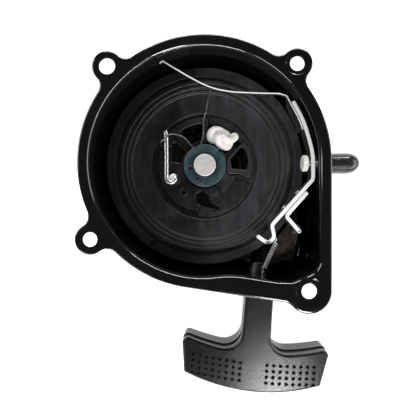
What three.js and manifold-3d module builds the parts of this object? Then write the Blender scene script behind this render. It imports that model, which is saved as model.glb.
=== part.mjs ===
// Recoil starter for a small engine, lying on its outer face with its open side up.
// Millimetres. The origin is on the shaft axis, on the flat outer face that the starter rests on.
// +Z runs along the shaft towards the engine, and the handle is pulled roughly towards -Y.
// Angles are in degrees, bearings round the shaft start at +X.
import * as THREE from "three";
import { mergeVertices } from "three/addons/utils/BufferGeometryUtils.js";
import Module from "manifold-3d";

const wasm = await Module();
wasm.setup();

// ---------------------------------------------------------------- driving dimensions
const GAP = 0.3; // between pieces that touch

// Case
const SHEET = 1.5; // pressed steel
const CASE_DEPTH = 38;
const WALL_RADIUS = 58; // inside of the round wall
const FLANGE_RADIUS = 64;
const FLOOR_FILLET = 6.5; // outside, between floor and wall
const FLANGE_LIP = 2.8; // height of the flange's turned-down edge
const FLANGE_EDGE = 0.8; // rounding along its top
const BOTTOM_FACING = 267; // the straight bottom wall
const BEVEL_FACING = 294; // the short wall that cuts off the corner
const BEVEL_DISTANCE = 73.3; // of that wall from the axis
const CORNER_RADIUS = 8;
const FLANGE_BOTTOM_FACING = 261.5;
const EAR_FILLET = 6;
const CORNER_EAR_FILLET = 8;
const EARS = [
  { x: 46.6, y: 49.2, r: 7.75, hole: 3.6 },
  { x: -48.9, y: 47.75, r: 7.75, hole: 4 },
  { x: -57.4, y: -39.15, r: 7.75, hole: 3.6 },
];
const CORNER_EAR = { x: 52.6, y: -65.2, r: 11.4, hole: 3.8 };
const DIMPLE_RADIUS = 12; // the floor is raised here, for the shaft's rivet
const DIMPLE_DEPTH = 2;
const DIMPLE_SLOPE = 1; // how far its side leans out

// Shaft and what it carries
const SHAFT_RADIUS = 6;
const SHAFT_TOP = 23.5;
const SHAFT_HEAD = 9; // radius of its rivet head
const COLLAR_RADIUS = 8;
const COLLAR_TOP = 4.6;
const BUSH_RADIUS = 7.8;
const WASHER_RADIUS = 11.6;
const WASHER_Z = 19.8;
const WASHER_NOTCH = 43; // bearing
const CLIP_Z = 21.1;
const CLIP_EYES = [192, 241]; // bearings
const PLATE = 1; // thickness of washers and clip

// Reel
const REEL_RADIUS = 54.5;
const REEL_BOTTOM = 3;
const REEL_TOP = 20; // of the ridge round the dish
const BAND_TOP = 18.6; // of the outer band
const BAND_INNER = 49.7; // radius where the outer band starts
const BAND_THICKNESS = 2.6;
const BAND_NOTCHES = [97, 236]; // bearings
const BAND_NOTCH_HALF = 1.6; // degrees
const RIDGE_OUTER = 47;
const RIDGE_INNER = 42.8;
const DISH_RIM = 41; // radius of the dish's rim
const DISH_DEEP = { r: 36.5, z: 16.9 }; // where the dish's side turns into its floor
const LOWER_FLANGE = 50; // radius of the flange under the rope
const PLATEAU = 15.2; // flat face round the hub
const PLATEAU_RADIUS = 28.7;
const HUB_RADIUS = 12.5;
const HUB_TOP = 17;
const HUB_WALL = 3;
const DRUM_RADIUS = 24.8; // the rope winds on this
const GROOVE_BOTTOM = 5.4;
const GROOVE_TOP = 13.8;
const CAVITY_RADIUS = 23.2; // the mainspring lies inside this
const CAVITY_TOP = 12.6;
const WINDOW_INNER = 15.4;
const WINDOW_OUTER = 22.6;
const UPPER_WINDOW = [98, 124]; // bearings of its ends
const SIDE_WINDOW = [-10, 25];
const KNOT_POCKET = [31, 88];
const WINDOW_RIM = 0.7; // height of the side window's rim
const BOSS = { bearing: 232, distance: 19.6, r: 2.6 };
const KEYHOLE = { bearing: 265.7, distance: 17.8, r: 3.9 };
const KEYHOLE_TAIL = [
  [260, 21],
  [288, 25.6],
  [293, 24.2],
  [280, 18.5],
]; // [bearing, distance]
const KEYHOLE_DEPTH = 1.6;

// Mainspring
const SPRING_INNER = 12;
const SPRING_OUTER = 19.8;
const SPRING_TURNS = 4.25;
const SPRING_START = 18; // bearing
const SPRING_BOTTOM = 4.2;
const SPRING_TOP = 11.2;
const SPRING_SHEET = 0.6;
const SPRING_PIN = { bearing: 108, distance: 21.6, r: 1 };

// Rope
const ROPE_RADIUS = 2;
const ROPE_Z = 11.5;
const ROPE_TANGENT = 35; // radius of the outer layer on the reel
const ROPE_EXIT = new THREE.Vector2(30.6, -60.4); // where it passes the wall
const BUSH_WAIST = 4.6; // the outlet bush, in the wall
const OUTLET_RADIUS = 6.2;

// Pawl and friction spring
const PAWL_PIVOT = new THREE.Vector2(-17, -7.2);
const PAWL_RADIUS = 1.3;
const PAWL_Z = 18.6;
const PAWL_BOSS_TOP = 16;
const WIRE_RADIUS = 0.45;
const WIRE_COIL = 6.95;
const WIRE_LOW = 17.8;
const WIRE_HIGH = 19.25;
const WIRE_TOP = 20.95;

// Stop lever, stop rod and their fittings
const STRIP = 2; // thickness
const LEVER_BOTTOM = 25.2;
const LEVER_TOP = 33;
const LEVER_PIVOT = new THREE.Vector2(48.7, -35.3);
const PIN_RADIUS = 1.15;
const LEAF = 0.8; // thickness
const STAND_TOP = 20.4;
const STAND_SHEET = 2;
const STOP_ROD_Z = 29;
const STOP_ROD_RADIUS = 1.6;
const STOP_ROD_END = 75;
const STOP_ROD_HEAD = 4.3; // radius
const FERRULE_RADIUS = 3.9;
const NUT_RADIUS = 6; // over its corners
const HEAD_FACE = 53.7; // the stop rod's head bears on the strip here
const CAP_START = 64;
const CAP_END = 81.4;
const CAP_TIP = 8; // length of its rounded tip
const CAP_RADIUS = 5.7;
const RIVET_SHARES = [0.18, 0.82]; // of the diagonal's length, from its lower end
const RIVET_HOLE = 1.1;
const RIVET_Z = 29;
const LEAF_NARROW = 2; // depth of the leaf across the mouth
const LEAF_DEEP = 9.6; // and along the lever
const LEAF_TIP = new THREE.Vector2(-23.2, 51);
const LEAF_SWEEP = [
  [-21.6, 52.2],
  [-14.6, 48],
  [-7.6, 43.9],
  [2.7, 38.9],
  [12, 36.7],
  [26, 35.8],
  [38.6, 35.5],
];
const LEAF_BEND = new THREE.Vector2(42.2, 34.3); // where it turns to run along the lever
const STAND_FOOT = new THREE.Vector2(47.2, -43.2);
const STAND_FOOT_RADIUS = 4;
const SPRING_COIL_RADIUS = 1.25;
const TENSION_SPRING = [new THREE.Vector3(35.6, -42.2, 29.3), new THREE.Vector3(32.7, -54.2, 23)];
const SPRING_STUD = new THREE.Vector3(32.4, -59.2, 21.6);

// Handle, drawn with v = 0 at the rope exit and v falling along the pull
const HANDLE_THICKNESS = 16;
const HANDLE_BEVEL = 2.2;
const HANDLE_HALF = 39.6; // half its width
const HANDLE_BOTTOM = -63.6;
const HANDLE_BAR = 20; // height of the bar
const HANDLE_ARC = 130; // radius of its bowed bottom edge
const STEM_HALF = 7.3;
const STEM_TOP = -5.2;
const KNOT_POCKET_RADIUS = 5.4;
const KNOT_POCKET_TOP = -46;

// ---------------------------------------------------------------- helpers
const degrees = THREE.MathUtils.radToDeg;
const radians = THREE.MathUtils.degToRad;
const at = (angle, r = 1) =>
  new THREE.Vector2(r * Math.cos(radians(angle)), r * Math.sin(radians(angle)));
const bearing = (x, y) => (degrees(Math.atan2(y, x)) + 360) % 360;

// A closed geometry as a solid, with its faces turned outwards.
function solid(geometry) {
  const bare = geometry.index ? geometry.toNonIndexed() : geometry.clone();
  bare.deleteAttribute("normal");
  bare.deleteAttribute("uv");
  const merged = mergeVertices(bare, 1e-4);
  const faces = [];
  for (let i = 0; i < merged.index.count; i += 3) {
    const [a, b, c] = merged.index.array.slice(i, i + 3);
    if (a !== b && b !== c && c !== a) faces.push(a, b, c);
  }
  const vertProperties = merged.attributes.position.array;
  const build = (list) =>
    new wasm.Manifold(
      new wasm.Mesh({ numProp: 3, vertProperties, triVerts: new Uint32Array(list) }),
    );
  const made = build(faces);
  return made.volume() < 0 ? build(faces.reverse()) : made;
}

// A solid's surface as a geometry.
function surface(body) {
  const mesh = body.getMesh();
  const geometry = new THREE.BufferGeometry();
  geometry.setAttribute("position", new THREE.BufferAttribute(mesh.vertProperties, 3));
  geometry.setIndex(new THREE.BufferAttribute(mesh.triVerts, 1));
  geometry.computeVertexNormals();
  return geometry;
}

const join = (...bodies) => bodies.reduce((a, b) => a.add(b));
const cut = (body, ...tools) => tools.reduce((a, b) => a.subtract(b), body);

// Points along a circle's arc, from one angle to the other either way round.
function arc(x, y, r, from, to, step = 8) {
  const steps = Math.max(1, Math.ceil(Math.abs(to - from) / step));
  return Array.from({ length: steps + 1 }, (_, i) =>
    at(from + ((to - from) * i) / steps, r).add(new THREE.Vector2(x, y)),
  );
}

const circle = (x, y, r, step = 18) => arc(x, y, r, 0, 360, step).slice(0, -1);

// An outline round part of a ring, between two bearings and two radii.
const sector = (from, to, inner, outer) => [
  ...arc(0, 0, outer, from, to),
  ...arc(0, 0, inner, to, from),
];

// The outline through points, with each point that has an r rounded to it.
const corner = (x, y, r) => Object.assign(new THREE.Vector2(x, y), { r });
function rounded(points, closed = false, step = 22) {
  return points.flatMap((p, i) => {
    const before = points[closed ? (i || points.length) - 1 : i - 1];
    const after = points[closed ? (i + 1) % points.length : i + 1];
    if (!p.r || !before || !after) return [p];
    const a = before.clone().sub(p).normalize();
    const b = after.clone().sub(p).normalize();
    const half = Math.acos(a.dot(b)) / 2;
    const centre = a.clone().add(b).normalize().multiplyScalar(p.r / Math.sin(half)).add(p);
    const reach = p.r / Math.tan(half);
    const start = a.multiplyScalar(reach).add(p).sub(centre);
    const end = b.multiplyScalar(reach).add(p).sub(centre);
    const from = bearing(start.x, start.y);
    let turn = bearing(end.x, end.y) - from;
    turn -= 360 * Math.round(turn / 360);
    return arc(centre.x, centre.y, p.r, from, from + turn, step);
  });
}

// A line moved sideways, to its left where the distance is positive.
const beside = (line, distance) =>
  line.map((p, i) => {
    const before = line[Math.max(i - 1, 0)];
    const after = line[Math.min(i + 1, line.length - 1)];
    const along = after.clone().sub(before).normalize();
    return new THREE.Vector2(-along.y, along.x).multiplyScalar(distance).add(p);
  });

// The outline of a strip of sheet that stands on edge along a line.
const strip = (line, thickness) => [
  ...beside(line, -thickness / 2),
  ...beside(line, thickness / 2).reverse(),
];

// A right prism on an outline, from one height to another.
function prism(outline, bottom, top) {
  const shape = new THREE.Shape(outline);
  const geometry = new THREE.ExtrudeGeometry(shape, { depth: top - bottom, bevelEnabled: false });
  return solid(geometry.translate(0, 0, bottom));
}

const post = (x, y, r, bottom, top, step) => prism(circle(x, y, r, step), bottom, top);

// A body of revolution about Z from a profile of [radius, height] points.
function turned(profile, segments = 36) {
  const points = profile.map(([r, z]) => new THREE.Vector2(r, z));
  if (profile.every(([r]) => r > 0)) points.push(points[0].clone());
  return solid(new THREE.LatheGeometry(points, segments).rotateX(Math.PI / 2));
}

const ring = (inner, outer, bottom, top, segments) =>
  turned([[inner, bottom], [outer, bottom], [outer, top], [inner, top]], segments);

// A closed skin over outlines of equal length, one above another.
function loft(rings) {
  const count = rings[0].outline.length;
  const vertices = rings.flatMap(({ outline, z }) => outline.flatMap((p) => [p.x, p.y, z]));
  const faces = [];
  for (let k = 0; k + 1 < rings.length; k++) {
    for (let i = 0; i < count; i++) {
      const a = k * count + i;
      const b = k * count + ((i + 1) % count);
      faces.push(a, b, b + count, a, b + count, a + count);
    }
  }
  const last = (rings.length - 1) * count;
  for (const [a, b, c] of THREE.ShapeUtils.triangulateShape(rings[0].outline, [])) {
    faces.push(a, c, b, last + a, last + b, last + c);
  }
  const geometry = new THREE.BufferGeometry();
  geometry.setAttribute("position", new THREE.Float32BufferAttribute(vertices, 3));
  geometry.setIndex(faces);
  return solid(geometry);
}

// A round bar along a smooth line through points, with flat ends.
function bar(points, radius, steps, sides = 8) {
  const line = points.map(([x, y, z]) => new THREE.Vector3(x, y, z));
  const path = new THREE.CatmullRomCurve3(line, false, "centripetal");
  const section = new THREE.Shape(circle(0, 0, radius, 360 / sides));
  return solid(new THREE.ExtrudeGeometry(section, { steps, extrudePath: path }));
}

// ---------------------------------------------------------------- lines that the pieces share
// The rope leaves the reel's outer layer at a tangent, so it leans a little from -Y.
const LEAN =
  degrees(Math.acos(ROPE_TANGENT / ROPE_EXIT.length())) - 360 + bearing(ROPE_EXIT.x, ROPE_EXIT.y);

// Turns a body made round +Z to lie along the rope, with its origin at the exit and +Z outwards.
const alongRope = (body) =>
  body.rotate([90, 0, 0]).rotate([0, 0, LEAN]).translate([ROPE_EXIT.x, ROPE_EXIT.y, ROPE_Z]);

// Turns a body made round +Z to lie along the stop rod, with +Z outwards along +X.
const alongStopRod = (body) => body.rotate([0, 90, 0]).translate([0, 0, STOP_ROD_Z]);

// The stop lever's line, seen from above: along the wall, across, then round the spring's hook.
const LEVER_LINE = rounded([
  new THREE.Vector2(45.5, 31.7),
  corner(51, 21.5, 40),
  corner(56, 4.5, 40),
  corner(55.8, -8.6, 3),
  corner(34.6, -32.2, 2.5),
  corner(36.4, -40.6, 3.6),
  corner(31.6, -41, 3.6),
  new THREE.Vector2(27, -37.6),
]);
const LEVER_DIAGONAL = [new THREE.Vector2(51.2, -13.7), new THREE.Vector2(40.2, -26)];

// ---------------------------------------------------------------- case
// Centre of the rounding between two walls, each given by its facing and distance from the axis.
function cornerCentre(facingA, distanceA, facingB, distanceB) {
  const a = at(facingA);
  const b = at(facingB);
  const cross = a.x * b.y - a.y * b.x;
  const da = distanceA - CORNER_RADIUS;
  const db = distanceB - CORNER_RADIUS;
  return new THREE.Vector2((da * b.y - db * a.y) / cross, (db * a.x - da * b.x) / cross);
}

// The inside of the wall, moved outwards by offset: round, apart from the rope's corner.
function wallOutline(offset) {
  const low = cornerCentre(BOTTOM_FACING, WALL_RADIUS, BEVEL_FACING, BEVEL_DISTANCE);
  const high = cornerCentre(BEVEL_FACING, BEVEL_DISTANCE, 360, WALL_RADIUS);
  return [
    ...arc(0, 0, WALL_RADIUS + offset, 0, BOTTOM_FACING, 7.5),
    ...arc(low.x, low.y, CORNER_RADIUS + offset, BOTTOM_FACING, BEVEL_FACING, 14),
    ...arc(high.x, high.y, CORNER_RADIUS + offset, BEVEL_FACING, 360, 14),
  ];
}

// A triangle's angle between two of its sides.
const angleBetween = (a, b, opposite) =>
  degrees(Math.acos((a * a + b * b - opposite * opposite) / (2 * a * b)));

// The flange's outline, moved outwards by offset. Each ear meets the round edge in two concave
// fillets, whose centres form a triangle with the ear's centre and the axis.
function flangeOutline(offset) {
  const outline = [];
  const edge = FLANGE_RADIUS + offset;
  const toFillet = FLANGE_RADIUS + EAR_FILLET;
  let reached = 0;
  for (const ear of EARS) {
    const reach = ear.r + EAR_FILLET;
    const far = Math.hypot(ear.x, ear.y);
    const facing = bearing(ear.x, ear.y);
    const atAxis = angleBetween(far, toFillet, reach);
    const atEar = angleBetween(far, reach, toFillet);
    const first = at(facing - atAxis, toFillet);
    const second = at(facing + atAxis, toFillet);
    const r = EAR_FILLET - offset;
    outline.push(
      ...arc(0, 0, edge, reached, facing - atAxis, 7.5),
      ...arc(first.x, first.y, r, facing - atAxis + 180, facing + atEar, 18),
      ...arc(ear.x, ear.y, ear.r + offset, facing + atEar - 180, facing - atEar + 180, 18),
      ...arc(second.x, second.y, r, facing - atEar, facing + atAxis - 180, 18),
    );
    reached = facing + atAxis;
  }
  // The fourth ear fills the corner between the straight bottom and right edges.
  const ear = CORNER_EAR;
  const down = at(FLANGE_BOTTOM_FACING);
  const below = FLANGE_RADIUS + CORNER_EAR_FILLET - (ear.x * down.x + ear.y * down.y);
  const across = Math.sqrt((ear.r + CORNER_EAR_FILLET) ** 2 - below ** 2);
  const fillet = new THREE.Vector2(
    ear.x + below * down.x + across * down.y,
    ear.y + below * down.y - across * down.x,
  );
  const facing = bearing(ear.x - fillet.x, ear.y - fillet.y);
  const r = CORNER_EAR_FILLET - offset;
  outline.push(
    ...arc(0, 0, edge, reached, FLANGE_BOTTOM_FACING, 7.5),
    ...arc(fillet.x, fillet.y, r, FLANGE_BOTTOM_FACING - 180, facing, 14),
    ...arc(ear.x, ear.y, ear.r + offset, facing + 180, 360, 14),
  );
  return outline;
}

// The pressed shell, its flange turned down at the edge, pierced for shaft, rope, rod and bolts.
function starterCase() {
  const bend = (r, angle) => ({
    outline: wallOutline(SHEET - FLOOR_FILLET + r * Math.cos(radians(angle))),
    z: FLOOR_FILLET + r * Math.sin(radians(angle)),
  });
  const brim = CASE_DEPTH - SHEET / 2;
  const shell = loft([
    ...[-90, -60, -30, 0].map((angle) => bend(FLOOR_FILLET, angle)),
    { outline: wallOutline(SHEET), z: brim },
    { outline: wallOutline(0), z: brim },
    ...[0, -30, -60, -90].map((angle) => bend(FLOOR_FILLET - SHEET, angle)),
  ]);
  const edge = CASE_DEPTH - FLANGE_LIP;
  const flange = loft([
    { outline: flangeOutline(0), z: edge },
    { outline: flangeOutline(0), z: CASE_DEPTH - FLANGE_EDGE },
    { outline: flangeOutline(-FLANGE_EDGE), z: CASE_DEPTH },
  ]);
  const underside = prism(flangeOutline(-SHEET), edge - 1, CASE_DEPTH - SHEET);
  const mouth = prism(wallOutline(0), edge - 1, CASE_DEPTH + 1);
  const raised = DIMPLE_DEPTH + SHEET;
  const pressed = DIMPLE_RADIUS - SHEET;
  const pin = at(SPRING_PIN.bearing, SPRING_PIN.distance);
  return cut(
    join(
      shell,
      cut(flange, underside, mouth),
      turned([[0, 1], [DIMPLE_RADIUS + SHEET, 1], [DIMPLE_RADIUS, raised], [0, raised]]),
    ),
    turned([[0, -1], [pressed + DIMPLE_SLOPE, -1], [pressed, DIMPLE_DEPTH], [0, DIMPLE_DEPTH]]),
    post(0, 0, SHAFT_RADIUS + GAP, 0, raised + 1),
    post(pin.x, pin.y, SPRING_PIN.r + GAP, -1, SHEET + 1, 30),
    alongRope(post(0, 0, BUSH_WAIST + GAP, -8, 8)),
    alongStopRod(post(0, 0, FERRULE_RADIUS + GAP, WALL_RADIUS - 2, WALL_RADIUS + 4)),
    ...[...EARS, CORNER_EAR].map((ear) => post(ear.x, ear.y, ear.hole, edge - 1, CASE_DEPTH + 1)),
  );
}

// ---------------------------------------------------------------- shaft and what it carries
// Riveted in the floor, with a collar above the floor and a groove for the snap ring.
function centreShaft() {
  const neck = SHAFT_RADIUS - 0.7;
  const floorTop = DIMPLE_DEPTH + SHEET + GAP;
  return turned([
    [0, 0],
    [SHAFT_HEAD - 0.5, 0],
    [SHAFT_HEAD, 0.5],
    [SHAFT_HEAD, DIMPLE_DEPTH - GAP],
    [SHAFT_RADIUS, DIMPLE_DEPTH - GAP],
    [SHAFT_RADIUS, floorTop],
    [COLLAR_RADIUS, floorTop],
    [COLLAR_RADIUS, COLLAR_TOP],
    [SHAFT_RADIUS, COLLAR_TOP],
    [SHAFT_RADIUS, CLIP_Z - 0.1],
    [neck, CLIP_Z - 0.1],
    [neck, CLIP_Z + PLATE + 0.1],
    [SHAFT_RADIUS, CLIP_Z + PLATE + 0.1],
    [SHAFT_RADIUS, SHAFT_TOP - 0.5],
    [SHAFT_RADIUS - 0.5, SHAFT_TOP],
    [0, SHAFT_TOP],
  ], 24);
}

function thrustWasher() {
  const notch = at(WASHER_NOTCH, WASHER_RADIUS);
  return cut(
    ring(SHAFT_RADIUS + GAP, WASHER_RADIUS, WASHER_Z, WASHER_Z + PLATE),
    post(notch.x, notch.y, 0.9, WASHER_Z - 1, WASHER_Z + 2, 45),
  );
}

// A snap ring, open between its two eyes.
function circlip() {
  const inner = SHAFT_RADIUS - 0.4;
  const outer = SHAFT_RADIUS + 1.1;
  const [first, second] = CLIP_EYES;
  const eyes = CLIP_EYES.map((angle) => at(angle, outer + 0.6));
  const top = CLIP_Z + PLATE;
  return cut(
    join(
      prism(sector(second, first + 360, inner, outer), CLIP_Z, top),
      ...eyes.map((eye) => post(eye.x, eye.y, 1.5, CLIP_Z, top, 30)),
    ),
    ...eyes.map((eye) => post(eye.x, eye.y, 0.6, CLIP_Z - 1, top + 1, 45)),
  );
}

// The flat mainspring, from the reel's hub out to its pin on the floor.
function mainspring() {
  const sweep = SPRING_TURNS * 360;
  const line = [];
  for (let angle = 0; angle <= sweep; angle += 20) {
    const r = SPRING_INNER + ((SPRING_OUTER - SPRING_INNER) * angle) / sweep;
    line.push(at(SPRING_START + angle, r));
  }
  return prism(strip(line, SPRING_SHEET), SPRING_BOTTOM, SPRING_TOP);
}

function mainspringPin() {
  const { x, y } = at(SPRING_PIN.bearing, SPRING_PIN.distance);
  return post(x, y, SPRING_PIN.r, 0.1, SPRING_TOP - 1, 30);
}

// ---------------------------------------------------------------- reel
// Half a turned section: bore and mainspring cavity below, rope groove outside, dished face on top.
const REEL_SECTION = [
  [BUSH_RADIUS + GAP, COLLAR_TOP + GAP],
  [BUSH_RADIUS + HUB_WALL, COLLAR_TOP + GAP],
  [BUSH_RADIUS + HUB_WALL, CAVITY_TOP],
  [CAVITY_RADIUS, CAVITY_TOP],
  [CAVITY_RADIUS, REEL_BOTTOM],
  [LOWER_FLANGE, REEL_BOTTOM],
  [LOWER_FLANGE, GROOVE_BOTTOM],
  [DRUM_RADIUS, GROOVE_BOTTOM],
  [DRUM_RADIUS, GROOVE_TOP],
  [DISH_RIM - 3.2, GROOVE_TOP],
  [DISH_RIM - 0.5, BAND_TOP - BAND_THICKNESS],
  [REEL_RADIUS, BAND_TOP - BAND_THICKNESS],
  [REEL_RADIUS, BAND_TOP - 0.5],
  [REEL_RADIUS - 0.5, BAND_TOP],
  [BAND_INNER, BAND_TOP],
  [BAND_INNER - 0.5, BAND_TOP - 1],
  [RIDGE_OUTER + 0.4, BAND_TOP - 1],
  [RIDGE_OUTER, REEL_TOP],
  [RIDGE_INNER, REEL_TOP],
  [RIDGE_INNER - 0.4, REEL_TOP - 1],
  [DISH_RIM + 0.4, REEL_TOP - 1],
  [DISH_RIM, REEL_TOP - 0.3],
  [DISH_DEEP.r, DISH_DEEP.z],
  [PLATEAU_RADIUS + 0.6, PLATEAU + 0.8],
  [PLATEAU_RADIUS, PLATEAU],
  [HUB_RADIUS, PLATEAU],
  [HUB_RADIUS, HUB_TOP],
  [BUSH_RADIUS + GAP, HUB_TOP],
];

// The rope's way from the groove through the drum to the knot in its pocket.
function knotTail(radius) {
  const middle = (KNOT_POCKET[0] + KNOT_POCKET[1]) / 2;
  const point = (r, z) => [...at(middle, r).toArray(), z];
  return bar([point(18, 15.6), point(21.8, 13), point(23.8, ROPE_Z)], radius, 4);
}

function reel() {
  const window = ([from, to], inner = WINDOW_INNER) =>
    prism(sector(from, to, inner, WINDOW_OUTER), CAVITY_TOP - 1, HUB_TOP + 1);
  const [from, to] = SIDE_WINDOW;
  const rim = prism(
    sector(from - 4, to + 4, WINDOW_INNER - 1, WINDOW_OUTER + 1),
    PLATEAU - 1,
    PLATEAU + WINDOW_RIM,
  );
  const boss = at(BOSS.bearing, BOSS.distance);
  const keyhole = at(KEYHOLE.bearing, KEYHOLE.distance);
  const tail = KEYHOLE_TAIL.map(([angle, distance]) => at(angle, distance));
  const recess = PLATEAU - KEYHOLE_DEPTH;
  return cut(
    join(
      turned(REEL_SECTION, 48),
      rim,
      post(boss.x, boss.y, BOSS.r, PLATEAU - 1, PLATEAU + 0.8, 20),
      post(PAWL_PIVOT.x, PAWL_PIVOT.y, 3.2, PLATEAU - 1, PAWL_BOSS_TOP, 20),
    ),
    window(UPPER_WINDOW),
    window(SIDE_WINDOW),
    window(KNOT_POCKET, HUB_RADIUS + 0.6),
    knotTail(ROPE_RADIUS + 0.4),
    post(boss.x, boss.y, 1.1, PLATEAU - 0.6, PLATEAU + 2, 30),
    post(keyhole.x, keyhole.y, KEYHOLE.r, recess, PLATEAU + 2),
    prism(tail, recess, PLATEAU + 2),
    post(PAWL_PIVOT.x, PAWL_PIVOT.y, PAWL_RADIUS + 0.12, CAVITY_TOP - 1, PLATEAU + 3),
    ...BAND_NOTCHES.map((angle) => {
      const ends = [angle - BAND_NOTCH_HALF, angle + BAND_NOTCH_HALF];
      const notch = sector(...ends, BAND_INNER - 0.3, REEL_RADIUS + 1);
      return prism(notch, BAND_TOP - 1, BAND_TOP + 1);
    }),
  );
}

const ball = (x, y, z, r) => solid(new THREE.SphereGeometry(r, 10, 7).translate(x, y, z));

// The knot that holds the rope's end in the reel.
function ropeKnot() {
  const lumps = [
    [4.2, 17.2, 16.3, 3.2],
    [8.6, 16.8, 16.4, 3.2],
    [12.9, 13.5, 16.4, 3.2],
    [9.2, 13.2, 16.8, 3],
    [14.4, 11.6, 16, 2.4],
  ];
  return join(...lumps.map((lump) => ball(...lump)), knotTail(ROPE_RADIUS));
}

// ---------------------------------------------------------------- pawl and friction spring
// A bar bent round its foot and down into the reel.
function pawl() {
  const { x, y } = PAWL_PIVOT;
  const foot = [
    [x - 4.4, 19.6, PAWL_Z],
    [x - 4, 8, PAWL_Z],
    [x - 3.8, y - 0.4, PAWL_Z],
    [x - 3, y - 2.5, PAWL_Z],
    [x - 1.2, y - 2.9, PAWL_Z],
    [x, y - 1.8, PAWL_Z],
    [x, y - 0.2, PAWL_Z - 1.2],
    [x, y, PAWL_Z - 2.6],
    [x, y, CAVITY_TOP + 0.5],
  ];
  return bar(foot, PAWL_RADIUS, 30);
}

// Wire that grips the shaft: one leg ends in a loop round the pawl, the other lies across the reel.
function frictionSpring() {
  const freeLeg = [
    [2.9, 41.5, WIRE_TOP],
    [1.4, 33, WIRE_TOP + 0.1],
    [0, 26.5, WIRE_TOP],
    [-0.9, 19.5, 19.9],
    [-1.7, 13.4, 18.3],
    [-3.6, 9.8, WIRE_LOW],
  ];
  const turns = [];
  for (let angle = 165; angle <= 410; angle += 24.5) {
    const z = WIRE_LOW + ((WIRE_HIGH - WIRE_LOW) * (angle - 165)) / 245;
    turns.push([...at(angle, WIRE_COIL).toArray(), z]);
  }
  const pawlLeg = [
    [-0.8, 8.8, WIRE_HIGH],
    [-5.2, 10, WIRE_HIGH],
    [-8.4, 12.8, 19.9],
    [-11.6, 15.6, WIRE_TOP],
    [-15.9, 16.5, WIRE_TOP],
    [-20, 16, WIRE_TOP + 0.2],
    [-23.8, 13.6, WIRE_TOP],
    [-24.8, 12.2, 19.4],
    [-24.4, 11.6, 17.4],
    [-22.6, 11.4, 16.2],
    [-20.2, 11.4, 16.2],
    [-18.6, 11.6, 17],
    [-18.3, 12.2, 18.8],
  ];
  return bar([...freeLeg, ...turns, ...pawlLeg], WIRE_RADIUS, 78, 6);
}

// ---------------------------------------------------------------- stop lever and its stand
const [DIAGONAL_HIGH, DIAGONAL_LOW] = LEVER_DIAGONAL;
const diagonal = DIAGONAL_HIGH.clone().sub(DIAGONAL_LOW);
const diagonalOut = new THREE.Vector2(diagonal.y, -diagonal.x).normalize();

// Turns a body made round +Z to cross the lever's diagonal, with +Z facing the case's corner.
function acrossDiagonal(body, share) {
  const p = DIAGONAL_LOW.clone().addScaledVector(diagonal, share);
  const facing = bearing(diagonalOut.x, diagonalOut.y);
  return body.rotate([0, 90, 0]).rotate([0, 0, facing]).translate([p.x, p.y, RIVET_Z]);
}

const rivetHoles = () =>
  RIVET_SHARES.map((share) => acrossDiagonal(post(0, 0, RIVET_HOLE, -3, 6, 30), share));

function stopLever() {
  const rodHole = alongStopRod(post(0, 0, STOP_ROD_RADIUS + 1, HEAD_FACE - 2, WALL_RADIUS));
  return cut(prism(strip(LEVER_LINE, STRIP), LEVER_BOTTOM, LEVER_TOP), rodHole, ...rivetHoles());
}

// Doubles the lever along its diagonal, then turns out to an eye on the pivot pin.
function leverBracket() {
  const shift = diagonalOut.clone().multiplyScalar(STRIP + GAP);
  const bend = DIAGONAL_LOW.clone().add(shift);
  const line = [DIAGONAL_HIGH.clone().add(shift), corner(bend.x, bend.y, 1.6), LEVER_PIVOT];
  const { x, y } = LEVER_PIVOT;
  return cut(
    join(
      prism(strip(rounded(line), STRIP), LEVER_BOTTOM, LEVER_TOP),
      post(x, y, PIN_RADIUS + 1.25, LEVER_BOTTOM, LEVER_TOP),
    ),
    post(x, y, PIN_RADIUS + 0.2, LEVER_BOTTOM - 1, LEVER_TOP + 1),
    ...rivetHoles(),
  );
}

// A rivet through the lever and its bracket, with a low head on each side.
function leverRivet(share) {
  const inner = -STRIP / 2 - GAP;
  const outer = STRIP * 1.5 + 2 * GAP;
  const shank = RIVET_HOLE - 0.2;
  const head = shank + 0.7;
  const profile = [
    [0, inner - 0.6],
    [head - 0.4, inner - 0.6],
    [head, inner],
    [shank, inner],
    [shank, outer],
    [head, outer],
    [head - 0.4, outer + 0.6],
    [0, outer + 0.6],
  ];
  return acrossDiagonal(turned(profile, 12), share);
}

// The spring leaf: deep where it is fixed along the lever, narrow across the starter's mouth.
function leverLeaf() {
  const fixed = beside(LEVER_LINE.filter((p) => p.y > 12.5), -(STRIP + LEAF) / 2 - GAP);
  const free = new THREE.SplineCurve(LEAF_SWEEP.map(([x, y]) => new THREE.Vector2(x, y)));
  const sweep = [LEAF_TIP, ...free.getPoints(18), LEAF_BEND];
  return join(
    prism(strip([...sweep, fixed[0]], LEAF), LEVER_TOP - LEAF_NARROW, LEVER_TOP),
    prism(strip([LEAF_BEND, ...fixed], LEAF), LEVER_TOP - LEAF_DEEP, LEVER_TOP),
  );
}

// A plate on a round foot, outside the reel's rim.
function leverStand() {
  const plate = [
    ...arc(0, 0, REEL_RADIUS + 2, -48, -35),
    new THREE.Vector2(54.6, -33),
    new THREE.Vector2(53.6, -43.5),
    new THREE.Vector2(45.8, -51.8),
    new THREE.Vector2(38.6, -50.4),
  ];
  return cut(
    join(
      prism(plate, STAND_TOP - STAND_SHEET, STAND_TOP),
      post(STAND_FOOT.x, STAND_FOOT.y, STAND_FOOT_RADIUS, SHEET + GAP, STAND_TOP - 1),
    ),
    post(LEVER_PIVOT.x, LEVER_PIVOT.y, PIN_RADIUS + GAP, STAND_TOP - 4, STAND_TOP + 1),
  );
}

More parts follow.
